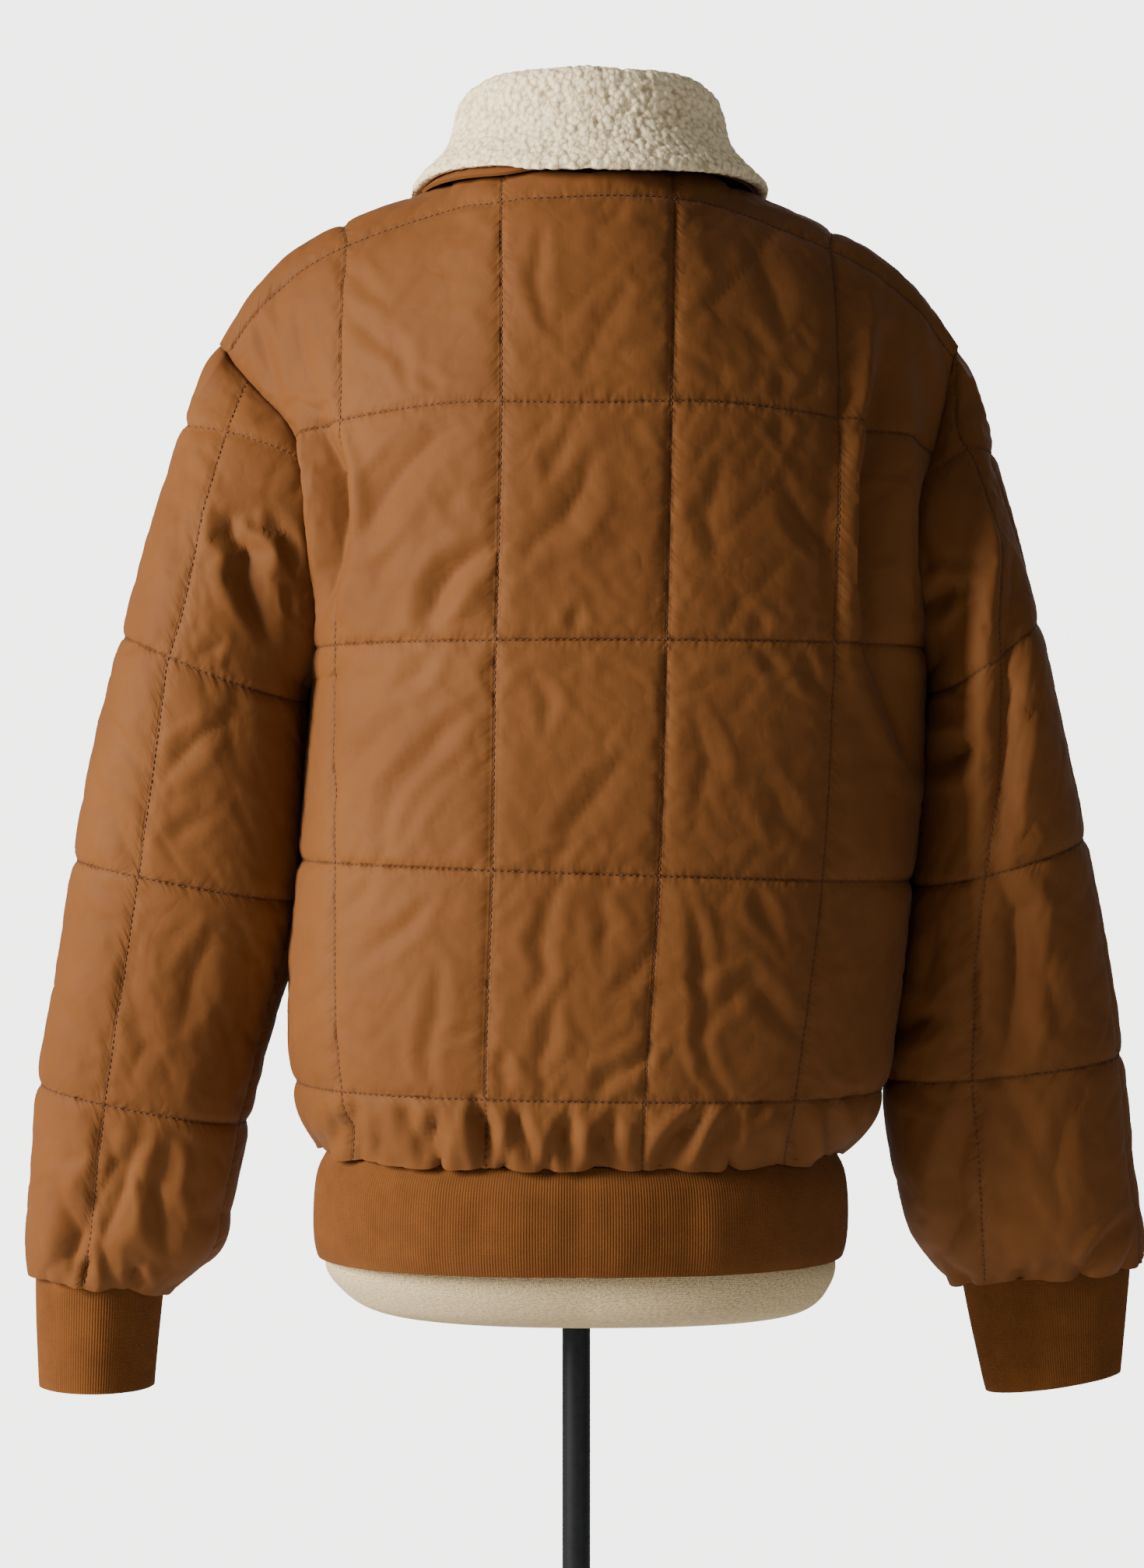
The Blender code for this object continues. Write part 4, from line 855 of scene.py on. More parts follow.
def one_crease(where: Array, item: Crease) -> Array:
    """Return one crease's offsets: a trough between two low shoulders, tapered at its ends.

    Args:
        where: picture points, rows x columns x 2.
        item: the crease.

    Returns:
        Offsets in metres, rows x columns.
    """
    path = np.array(item.path, float)
    lengths = np.linalg.norm(np.diff(path, axis=0), axis=1)
    starts = np.concatenate([[0], np.cumsum(lengths)])
    near = np.full(where.shape[:2], 1e9)
    along = np.zeros(where.shape[:2])
    for start, end, length, before in zip(path, path[1:], lengths, starts):
        t = np.clip(((where - start) @ (end - start)) / length**2, 0, 1)
        away = np.linalg.norm(where - start - t[..., None] * (end - start), axis=-1)
        closer = away < near
        near = np.where(closer, away, near)
        along = np.where(closer, before + t * length, along)
    share = along / starts[-1]
    taper = np.sin(pi * np.clip(share, 0.03, 0.97)) ** 0.7
    reach = item.reach * (0.5 + 0.4 * taper)
    away = near * VIEW.scale * 0.94 / reach
    valley = np.exp(-1.5 * (np.sqrt(away**2 + 0.04) - 0.2))
    return -item.depth * taper * (valley - 0.34 * np.exp(-(((away - 1.8) / 0.8) ** 2)))


# ---------------------------------------------------------------- cloth simulation
@dataclass(frozen=True)
class ClothRun:
    """A short run of Blender's cloth, in which held stitching puckers cloth that grows."""

    frames: int = 12
    growth: float = 0.007
    ground: float = 0.10  # how firmly the wadding holds a free point
    pressure: float = 0.10
    most: float = 0.0018  # how far a point may move

    def settle(self, grid: Array, held: Array, closed: bool) -> Array:
        """Let the outer cloth of a quilted piece buckle.

        Args:
            grid: its points, rows x columns x 3.
            held: 1 on stitching and seams, 0 where the cloth is free.
            closed: whether the last column repeats the first.
        """
        rows, columns = grid.shape[:2]
        bm = grid_mesh(grid, np.zeros((rows, columns, 2)), closed)
        layer = bm.verts.layers.int["place"]
        places = np.array([vert[layer] for vert in bm.verts])
        mesh = bpy.data.meshes.new("cloth_run")
        bm.to_mesh(mesh)
        bm.free()
        obj = bpy.data.objects.new("cloth_run", mesh)
        bpy.context.scene.collection.objects.link(obj)
        weights = np.round((self.ground + (1 - self.ground) * held.reshape(-1)[places]) * 20) / 20
        group = obj.vertex_groups.new(name="held")
        for level in np.unique(weights):
            group.add(np.flatnonzero(weights == level).tolist(), float(level), "REPLACE")
        cloth = obj.modifiers.new("cloth", "CLOTH")
        settings = cloth.settings
        settings.quality = 4
        settings.mass = 0.15
        settings.tension_stiffness = settings.compression_stiffness = 12
        settings.shear_stiffness = 6
        settings.bending_stiffness = 0.04
        settings.vertex_group_mass = "held"
        settings.pin_stiffness = 1.0
        settings.shrink_min = -self.growth
        settings.use_pressure = True
        settings.uniform_pressure_force = self.pressure
        settings.effector_weights.gravity = 0.0
        cloth.collision_settings.use_collision = False
        cloth.point_cache.frame_start, cloth.point_cache.frame_end = 1, self.frames
        scene = bpy.context.scene
        for number in range(1, self.frames + 1):
            scene.frame_set(number)
        settled = obj.evaluated_get(bpy.context.evaluated_depsgraph_get()).to_mesh()
        moved = np.empty(len(settled.vertices) * 3, np.float32)
        settled.vertices.foreach_get("co", moved)
        result = grid.reshape(-1, 3).copy()
        step = moved.reshape(-1, 3) - result[places]
        size = np.linalg.norm(step, axis=1, keepdims=True)
        result[places] += step * np.minimum(1, self.most / np.maximum(size, 1e-9))
        result = result.reshape(rows, columns, 3)
        if closed:
            result[:, -1] = result[:, 0]
        scene.frame_set(1)
        bpy.data.objects.remove(obj, do_unlink=True)
        LOG.info("cloth run: %d points, moved up to %.1f mm", len(places), 1000 * float(size.max()))
        return result


# ---------------------------------------------------------------- body
@dataclass(frozen=True)
class Body:
    """The inside of the jacket's body, as in the solids, on points as close as wanted."""

    def section(self, face: Face, side: Side, z: float, shares: Array) -> Array:
        """Return points below the underarm, by share of the way from centre to side.

        Args:
            face: back or front panel.
            side: the wearer's left or right.
            z: height.
            shares: 0 at the centre to 1 at the side.

        Returns:
            The points.
        """
        row = table_at(SECTIONS, "z", z)
        half = (row.left - row.centre if side > 0 else row.right + row.centre) - COVER
        depth = (row.back if face > 0 else row.front) - COVER
        x, y = quarter(half, depth, shares, ROUND)
        return np.stack([row.centre + side * x, face * y, np.full_like(x, z)], axis=-1)

    def neckline(self, face: Face, side: Side, shares: Array) -> Array:
        """Return the neckline from the centre (0) to the neck point (1).

        Args:
            face: back or front panel.
            side: the wearer's left or right.
            shares: 0 at the centre to 1 at the neck point.

        Returns:
            The points.
        """
        depth, height = NECKLINE[face]
        turn = np.asarray(shares) * pi / 2
        return np.stack([
            NECK_CENTRE_X + side * NECK_HALF_WIDTH * np.sin(turn),
            face * depth * np.cos(turn),
            height + (NECK_POINT_Z - height) * np.sin(turn) ** 2,
        ], axis=-1)

    def top_line(self, face: Face, side: Side, shares: Array) -> Array:
        """Return the neckline and, past it, the shoulder seam.

        Args:
            face: back or front panel.
            side: the wearer's left or right.
            shares: 0 at the centre to 1 at the shoulder's tip.

        Returns:
            The points.
        """
        shares = np.asarray(shares, float)
        neck = NECK_SHARE[side]
        line = self.neckline(face, side, np.minimum(shares / neck, 1.0))
        off = np.maximum((SHOULDER_TIP - NECK_HALF_WIDTH) * (shares - neck) / (1 - neck), 0.0)
        straight, steeper = SHOULDER_DROP[side]
        past = np.stack([
            NECK_CENTRE_X + side * (NECK_HALF_WIDTH + off), np.zeros_like(off),
            NECK_POINT_Z - straight * off - steeper * off**5,
        ], axis=-1)
        return np.where((shares > neck)[..., None], past, line)

    def yoke(self, face: Face, side: Side, rise: float, shares: Array) -> Array:
        """Return points above the underarm; rise is 0 there and 1 at the top line.

        Args:
            face: back or front panel.
            side: the wearer's left or right.
            rise: 0 to 1.
            shares: 0 at the centre to 1 at the armhole's side.

        Returns:
            The points.
        """
        chest = self.section(face, side, UNDERARM_Z, shares)
        top = self.top_line(face, side, shares)
        centre_height = NECKLINE[face][1] - UNDERARM_Z
        stretch = centre_height / (top[..., 2] - UNDERARM_Z) - 1
        climb = rise + stretch * rise * (1 - rise)
        bulge = np.maximum(0.0, 1 - climb**ROUND) ** (1 / ROUND)
        return np.stack([
            chest[..., 0] + (top[..., 0] - chest[..., 0]) * climb,
            top[..., 1] + (chest[..., 1] - top[..., 1]) * bulge,
            UNDERARM_Z + (top[..., 2] - UNDERARM_Z) * climb,
        ], axis=-1)

    def armhole_share(self, face: Face, side: Side, rise: float) -> float:
        """Return where the armhole seam cuts the half panel at a rise above the underarm."""
        row = table_at(ARMHOLE, "rise", rise)
        return min(row.front if face < 0 else (row.left if side > 0 else row.right), 1.0)

    def at(self, face: Face, side: Side, row: float, shares: Array) -> Array:
        """Return points of a panel's row, 0 to 1 below the underarm and 1 to 2 above it.

        Args:
            face: back or front panel.
            side: the wearer's left or right.
            row: 0 to 2.
            shares: 0 at the centre to 1 at the side.

        Returns:
            The points.
        """
        if row > 1:
            return self.yoke(face, side, row - 1, shares)
        points = self.section(face, side, HEM_SEAM_Z + (UNDERARM_Z - HEM_SEAM_Z) * row, shares)
        room = np.sin(pi * np.clip(row, 0, 1))
        points[..., 2] += TILT * points[..., 0] * room
        return points

    def armhole(self, face: Face, side: Side, count: int) -> tuple[Array, Array]:
        """Return the armhole seam from the underarm up in equal steps.

        Args:
            face: back or front panel.
            side: the wearer's left or right.
            count: steps.

        Returns:
            The panel rows, and the points.
        """
        rows = 1 + np.linspace(0, 1, 500) ** 1.4
        line = np.array([
            self.at(face, side, row, np.array([self.armhole_share(face, side, row - 1)]))[0] for row in rows
        ])
        line[0, 1] = line[-1, 1] = 0.0
        along = lengths_along(line)
        steps = np.linspace(0, along[-1], count + 1)
        return np.interp(steps, along, rows), read_path(steps, along, line)


BODY = Body()


# ---------------------------------------------------------------- quilted pieces
@dataclass(frozen=True)
class Quilting:
    """How the wadding rises between its stitching, and how the cloth puckers beside it."""

    at_stitch: float = 0.0050
    puff: float = 0.0034
    valley: float = 0.0045  # how fast the cloth rises beside a line
    seam_reach: float = 0.008
    open_end: float = 0.0082  # lift where a band or the collar hides under the cloth
    pucker: float = 0.0015
    pucker_reach: float = 0.012
    gather: float = 0.0066
    gather_reach: float = 0.024
    billow: float = 0.0004  # low waves all over
    wave: float = 0.05
    crinkle: float = 0.0001
    marked: float = 0.012  # how far from a line the finish still knows of it, for its puckers, grooves and their painted shade
    roll: float = 0.0055  # how full the cloth is where it turns in under the collar
    still: float = 0.003  # how near a line no pucker moves the cloth
    deepest: float = 0.0040  # how far a fold sinks before it takes the inside along
    fold_reach: float = 0.010  # from a seam to where folds are full
    hold: float = 0.0022  # half width of the stitching that a cloth run holds
    close: tuple[float, float] = (0.0016, 0.0006)  # rows this near each other are held too
    thinnest: float = 0.0012
    corner: tuple[float, float] = (0.05, 0.03)  # at the band side seams pucker and the end doesn't


class Ridges(NamedTuple):
    """A family of folds: its share of the height that Quilting gives, its size, slant and noise."""

    share: float
    scale: Point  # metres across, through and up
    skew: float
    seed: int
    gaps: float | None = None  # how far apart it leaves out stretches


PUCKERS = (
    Ridges(1.0, (0.017, 0.017, 0.055), 0.5, 1, 0.06),  # from level stitching
    Ridges(0.8, (0.060, 0.060, 0.020), 0.2, 3, 0.06),  # from upright stitching
    Ridges(1.1, (0.055, 0.055, 0.018), -0.3, 5, 0.07),  # from side seams
    Ridges(0.9, (0.018, 0.018, 0.05), 0.3, 7),  # from end seams
)
GATHERS = Ridges(1.0, (0.021, 0.021, 0.09), 0.15, 8)
BILLOWS = Ridges(1.0, (0.040, 0.040, 0.090), 0.8, 9)
CRINKLES = (
    Ridges(1.0, (0.014, 0.014, 0.034), 0.9, 11, 0.05),
    Ridges(0.5, (0.030, 0.030, 0.012), -0.5, 13, 0.04),
)
FAR = 1.0  # stands for the distance to a line that isn't there


class Quilted:
    """A quilted cut piece: an inner and an outer grid of points with lines of stitching."""

    quilting = Quilting()
    run = ClothRun()

    def __init__(self, inner: Array, normals: Array, rows: Sequence[float | Array],
                 columns: Sequence[float | Array], creases: Sequence[Crease], closed: bool,
                 band_row: int, seed: int) -> None:
        """Keep the piece's plain sheet and where its stitching runs.

        Args:
            inner: the plain inside, rows x columns x 3.
            normals: outward, one a point.
            rows: level stitching, each line as its grid row, or its row in each column.
            columns: upright stitching, each line as its grid column, or its column in each row.
            creases: listed folds.
            closed: whether the last column repeats the first.
            band_row: the row that a knitted band draws in.
            seed: which noise.
        """
        self.inner, self.normals, self.closed, self.seed = inner, normals, closed, seed
        self.rows = [np.broadcast_to(np.asarray(r, float), inner.shape[1]) for r in rows]
        self.columns = [np.broadcast_to(np.asarray(c, float), inner.shape[0]) for c in columns]
        self.band_row = band_row
        self.creases = creases
        self.flat = flat_lengths(inner)
        self.outer = inner
        self.marks: dict[str, Array] = {}

    def _distances(self) -> tuple[Array, Array, Array, Array]:
        """Return each point's distance from level and upright stitching, side seams and end seams.

        Returns:
            The four distances, each rows x columns.
        """
        across, up = self.flat[..., 0], self.flat[..., 1]
        levels = [np.abs(up - along_line(up.T[..., None], row).T) for row in self.rows]
        beside = [np.abs(across - along_line(across[..., None], column)) for column in self.columns]
        levels, beside = ([np.nan_to_num(away, nan=FAR) for away in lines] for lines in (levels, beside))
        level, upright = np.min(levels, axis=0), np.min(beside, axis=0)
        if self.closed:
            around = across[:, -1:] - across[:, :1]
            other_way = [np.where(away < FAR, around - away, FAR) for away in beside]
            upright = np.minimum(upright, np.min(other_way, axis=0))
            sides = np.full_like(upright, FAR)
        else:
            sides = np.minimum(across - across[:, :1], across[:, -1:] - across)
        ends = np.minimum(up - up[:1], up[-1:] - up)
        return level, upright, sides, ends

    def _puckers(self, level: Array, upright: Array, sides: Array, ends: Array) -> Array:
        """Return the short creases that start at stitching and seams, and the gathers of a band.

        Args:
            level: distance from level stitching.
            upright: from upright stitching.
            sides: from side seams.
            ends: from end seams.

        Returns:
            Offsets in metres.
        """
        q = self.quilting
        u, v = self.flat[..., 0], self.flat[..., 1]
        if self.closed:
            turn = 2 * pi * np.linspace(0, 1, u.shape[1])[None, :] + 0 * u
            radius = (u[:, -1:] - u[:, :1]) / (2 * pi)
            place = np.stack([radius * np.cos(turn), radius * np.sin(turn), v], axis=-1)
        else:
            place = np.stack([u, 0 * u, v], axis=-1)

        def ridges(kind: Ridges) -> Array:
            """Return narrow valleys between rounded folds.

            Args:
                kind: the family of folds.

            Returns:
                Heights, mostly from -0.65 to 0.35.
            """
            moved = place.copy()
            moved[..., 0] += kind.skew * v
            value = noise(moved / kind.scale, self.seed + kind.seed)
            return -((1 - np.abs(value)) ** 3) + 0.35

        def some(kind: Ridges) -> Array | float:
            """Return a mask that leaves out stretches of a line.

            Args:
                kind: the family of folds.

            Returns:
                0 to 1.3.
            """
            if kind.gaps is None:
                return 1.0
            return np.clip(0.55 + 1.1 * noise(place / kind.gaps, self.seed + kind.seed + 1), 0, 1.3)

        total = np.zeros_like(u)
        for away, kind in zip((level, upright, sides, ends), PUCKERS):
            total += kind.share * q.pucker * np.exp(-away / q.pucker_reach) * ridges(kind) * some(kind)
        band = np.abs(v - v[self.band_row])
        total += q.gather * np.exp(-((band / q.gather_reach) ** 1.5)) * ridges(GATHERS)
        waves = 0.6 * noise(place / q.wave, self.seed + 10)
        total += q.billow * (ridges(BILLOWS) + waves)
        for kind in CRINKLES:
            total += kind.share * q.crinkle * ridges(kind) * some(kind)
        return total

    def shape(self) -> None:
        """Raise the outer cloth over the wadding, crease it and let it settle."""
        q = self.quilting
        level, upright, sides, ends = self._distances()
        # the finish reads these for its puckers, its grooves and the painted shade along the stitching
        self.marks = {
            "by_level": np.clip(1 - level / q.marked, 0, 1),
            "by_upright": np.clip(1 - upright / q.marked, 0, 1),
        }
        rise = (1 - np.exp(-level / q.valley)) * (1 - np.exp(-upright / q.valley))
        lift = q.at_stitch + q.puff * rise
        seam = np.minimum(sides, ends)
        lift = lift + (WALL - lift) * np.exp(-((sides / q.seam_reach) ** 1.3))
        lift = lift + (self._edge_lift() - lift) * np.exp(-((ends / q.seam_reach) ** 1.3))
        up = self.flat[..., 1]
        beside_band = np.abs(up - up[self.band_row]) < q.corner[1]
        shut = np.minimum(sides, ends + q.corner[0] * beside_band)
        off_level, off_upright, off_seams = (1 - np.exp(-away / q.still) for away in (level, upright, shut))
        free = off_level * off_upright * off_seams
        lift = lift + self._puckers(level, upright, sides, ends) * free
        lift = lift + q.roll * self._roll_share()
        folds = pressed(self.inner, self.normals, self.creases) * (1 - np.exp(-seam / q.fold_reach))
        self.inner = self.inner + self.normals * np.minimum(0.0, folds + q.deepest)[..., None]
        start = self.inner + self.normals * (lift + np.maximum(folds, -q.deepest))[..., None]
        held = np.exp(-((np.minimum(np.minimum(level, upright), seam) / q.hold) ** 2))
        spacing = np.linalg.norm(np.gradient(self.inner, axis=0), axis=2)
        held = np.maximum(held, np.clip((q.close[0] - spacing) / q.close[1], 0, 1))
        held[[0, -1]] = 1.0
        if not self.closed:
            held[:, [0, -1]] = 1.0
        moved = self.run.settle(start, held, self.closed)
        height = ((moved - self.inner) * self.normals).sum(-1)
        self.outer = moved + self.normals * np.maximum(0.0, q.thinnest - height)[..., None]

    def _roll_share(self) -> Array | float:
        """Return where the cloth turns in under the collar: nowhere, save on the body."""
        return 0.0

    def _edge_lift(self) -> Array:
        """Return the cloth's height at its end rows, rows x 1 or rows x columns.

        Returns:
            Heights in metres over the inside.
        """
        lift = np.full((len(self.inner), 1), WALL)
        half = len(lift) // 2
        lift[half:] = self.quilting.open_end if self.band_row else WALL
        lift[:half] = WALL if self.band_row else self.quilting.open_end
        return lift

    def stitched_lines(self) -> list[tuple[Array, Array]]:
        """Return each line of stitching as its points and normals.

        Returns:
            A line's points and normals for each unbroken stretch.
        """
        lines = []
        turned = [grid.transpose(1, 0, 2) for grid in (self.outer, self.normals)]
        for grids, places in (((self.outer, self.normals), self.columns), (turned, self.rows)):
            for place in places:
                points, ahead = (along_line(grid, place) for grid in grids)
                there = np.flatnonzero(~np.isnan(place))
                parts = np.split(there, np.flatnonzero(np.diff(there) > 1) + 1)
                lines += [(points[part], ahead[part]) for part in parts]
        return lines


def panel_row(face: Face, side: Side, row: float, lines: Sequence[float], counts: Sequence[int]) -> Array:
    """Return one row of a half panel, from the centre to the side seam or armhole.

    Args:
        face: back or front.
        side: the wearer's left or right.
        row: 0 to 1 below the underarm, 1 to 2 above it.
        lines: X of the upright stitching on this side.
        counts: grid steps between the centre, the lines and the edge.

    Returns:
        The points.
    """
    end = 1.0 if row <= 1 else BODY.armhole_share(face, side, row - 1)
    shares = np.linspace(0, end, 240)
    reach = side * BODY.at(face, side, row, shares)[:, 0]
    stops = [0.0, *[float(np.interp(side * x, reach, shares)) for x in lines], end]
    columns = between(stops, counts)
    if row - 1 > NECK_DRAW:
        first, last = counts[0], counts[0] + counts[1]
        middle = round(counts[1] * 0.4)
        target = between((columns[first], NECK_SHARE[side], columns[last]), (middle, counts[1] - middle), 0)
        pull = ((row - 1 - NECK_DRAW) / (1 - NECK_DRAW)) ** 2
        columns[first:last + 1] += (target - columns[first:last + 1]) * pull
    return BODY.at(face, side, row, columns)


class Panel(Quilted):
    """The back, or one front, of the jacket's body."""

    # the topmost line's rise, drop, middle and reach, in grid steps
    arch: tuple[float, ...] = (2.5, 5.5, -3.0, 17.0)
    roll_place: tuple[float, float] = (0.009, 0.007)  # middle and reach of the roll, down from the neckline
    roll_depth: float = 0.045  # where the neckline has run this far out it is full

    def __init__(self, face: Face, sides: Sequence[Side], stitched: Sequence[float],
                 row_counts: Sequence[int], column_counts: Sequence[int],
                 creases: Sequence[Crease], seed: int) -> None:
        """Lay out the panel's grid.

        Args:
            face: back or front.
            sides: the halves that it covers.
            stitched: heights of its level stitching at the centre.
            row_counts: grid steps between hem, stitching, underarm and top.
            column_counts: grid steps between centre, upright stitching and edge.
            creases: listed folds.
            seed: which noise.
        """
        self.face, self.sides = face, sides
        top = NECKLINE[face][1]
        low = [(z - HEM_SEAM_Z) / (UNDERARM_Z - HEM_SEAM_Z) for z in stitched if z < UNDERARM_Z]
        high = [1 + (z - UNDERARM_Z) / (top - UNDERARM_Z) for z in stitched if z > UNDERARM_Z]
        self.values = between([0.0, *low, 1.0, *high, 2.0], row_counts, 0.3)
        self.underarm = sum(row_counts[: len(low) + 1])
        marks = [0, *np.cumsum(row_counts).tolist()]
        rows = [m for k, m in enumerate(marks) if k != len(low) + 1 and 0 < k < len(marks) - 1]
        grid = np.array([self._row(row, column_counts) for row in self.values])
        inner = eased(grid, np.clip((2 - self.values) / 0.05, 0, 1)[:, None], 7)
        half = sum(column_counts)
        inside = list(np.cumsum(column_counts)[:-1])
        if len(sides) == 2:
            rise, drop, middle, reach = self.arch
            away = (np.arange(2 * half + 1) - half - middle) / reach
            rows[-1] = rows[-1] + rise - drop * (1 - np.exp(-(away**2)))
            columns = [half - c for c in inside] + [half + c for c in inside]
        else:
            columns = inside if Side.LEFT in sides else [half - c for c in inside]
        normals = normals_of(inner)
        if normals[0, len(normals[0]) // 2, 1] * face < 0:
            normals = -normals
        super().__init__(inner, normals, rows, columns, creases, False, 0, seed)
        self._square_edges()

    def _row(self, row: float, counts: Sequence[int]) -> Array:
        """Return the panel's points on one row, from the wearer's right to left.

        Args:
            row: 0 to 1 below the underarm, 1 to 2 above it.
            counts: grid steps between centre, stitching and edge.

        Returns:
            The points.
        """
        top = NECKLINE[self.face][1]
        if row <= 1:
            z = HEM_SEAM_Z + (UNDERARM_Z - HEM_SEAM_Z) * row
        else:
            z = UNDERARM_Z + (top - UNDERARM_Z) * (row - 1)
        halves = {}
        for side in self.sides:
            if self.face == Face.BACK:
                at = table_at(BACK_LINES, "z", z)
                lines = (at.left, at.far_left) if side > 0 else (at.right, at.far_right)
            else:
                lines = tuple(side * x for x in FRONT_LINES)
            halves[side] = panel_row(self.face, side, row, lines, counts)
        if len(halves) == 2:
            return np.concatenate([halves[Side.RIGHT][::-1], halves[Side.LEFT][1:]])
        return halves[Side.LEFT] if Side.LEFT in halves else halves[Side.RIGHT][::-1]

    def _square_edges(self) -> None:
        """Let the edges that meet other pieces end square to their seams."""
        self.normals[0, :, 2] = 0.0
        for side in self.sides:
            column = side.edge
            self.inner[: self.underarm + 1, column, 1] = self.face * SEAM_GAP / 2
            self.normals[: self.underarm + 1, column, 1] = 0.0
        shoulder = np.abs(self.inner[-1, :, 1]) < 1e-6
        self.inner[-1, shoulder, 1] = self.face * SEAM_GAP / 2
        self.normals[-1, shoulder, 1] = 0.0
        if self.face == Face.FRONT:
            column = 0 if Side.LEFT in self.sides else -1
            self.normals[:, column, 0] = 0.0
            side = self.sides[0]
            self.inner[:, column, 0] += side * (ZIP_HALF_WIDTH + SEAM_GAP)
        self.normals = unit(self.normals)

    def _roll_share(self) -> Array:
        """Return 1 on a low roll beside the neckline, fading to the shoulders.

        Returns:
            0 to 1, rows x columns.
        """
        up = self.flat[..., 1]
        below = up[-1:] - up
        neck = np.clip(self.face * self.inner[-1, :, 1] / self.roll_depth, 0, 1)
        middle, reach = self.roll_place
        return np.exp(-(((below - middle) / reach) ** 2)) * neck[None, :]

    def edge_normals(self, side: Side, values: Array) -> Array:
        """Return the normals along the armhole at panel rows."""
        return read_path(values, self.values, self.normals[:, side.edge])

    def take_normals(self, side: Side, values: Array, normals: Array) -> None:
        """Turn the armhole's edge to normals given at rising panel rows.

        Args:
            side: the wearer's left or right.
            values: panel rows, rising.
            normals: the direction at each.
        """
        own = self.values[self.underarm:]
        for k in range(3):
            self.normals[self.underarm:, side.edge, k] = np.interp(own, values, normals[:, k])
        self.normals = unit(self.normals)

    def build(self, name: str, finish: Material) -> Piece:
        """Make the panel's wall.

        Args:
            name: the piece's name, or its node's.
            finish: its material.

        Returns:
            The new object.
        """
        return wall(
            f"{name}_quilted", self.inner, self.outer, finish, (name,), marks=self.marks,
        )


@dataclass(frozen=True)
class SleeveSizes:
    """Where a sleeve is stitched and how finely it is modelled."""

    marks: tuple[float, ...] = (0.05, 0.19, 0.33, 0.47)  # the last three are stitched
    end: float = 0.595
    first_ring: float = 0.04
    line_angle: tuple[float, float] = (radians(72), radians(113))  # left, right
    head_reach: float = 0.20
    head_power: float = 1.3
    blend: float = 0.10  # how far down the rings grow out of the armhole
    blend_power: float = 2.2
    lean: float = 0.0125  # how far the upper sleeve rests towards the body
    lean_middle: tuple[float, float] = (0.22, 0.30)  # left, right
    lean_reach: tuple[float, float] = (0.16, 0.23)
    cap_rows: tuple[float, float] = (19.0, 24.0)  # where the stitching over the head crosses the outside
    cap_columns: float = 33.0  # and how far round it meets the armhole
    eased_rows: int = 11
    eased_to: tuple[float, float] = (0.26, 0.10)  # length at which easing ends, and over which it fades
    squarer: float = 2.0  # where the sleeve rests on the body
    exponent: float = 2.3
    columns: int = 160
    counts: tuple[int, ...] = (15, 42, 42, 42, 38)
    mitre: float = 17.0  # how many columns the seam's direction is evened out over


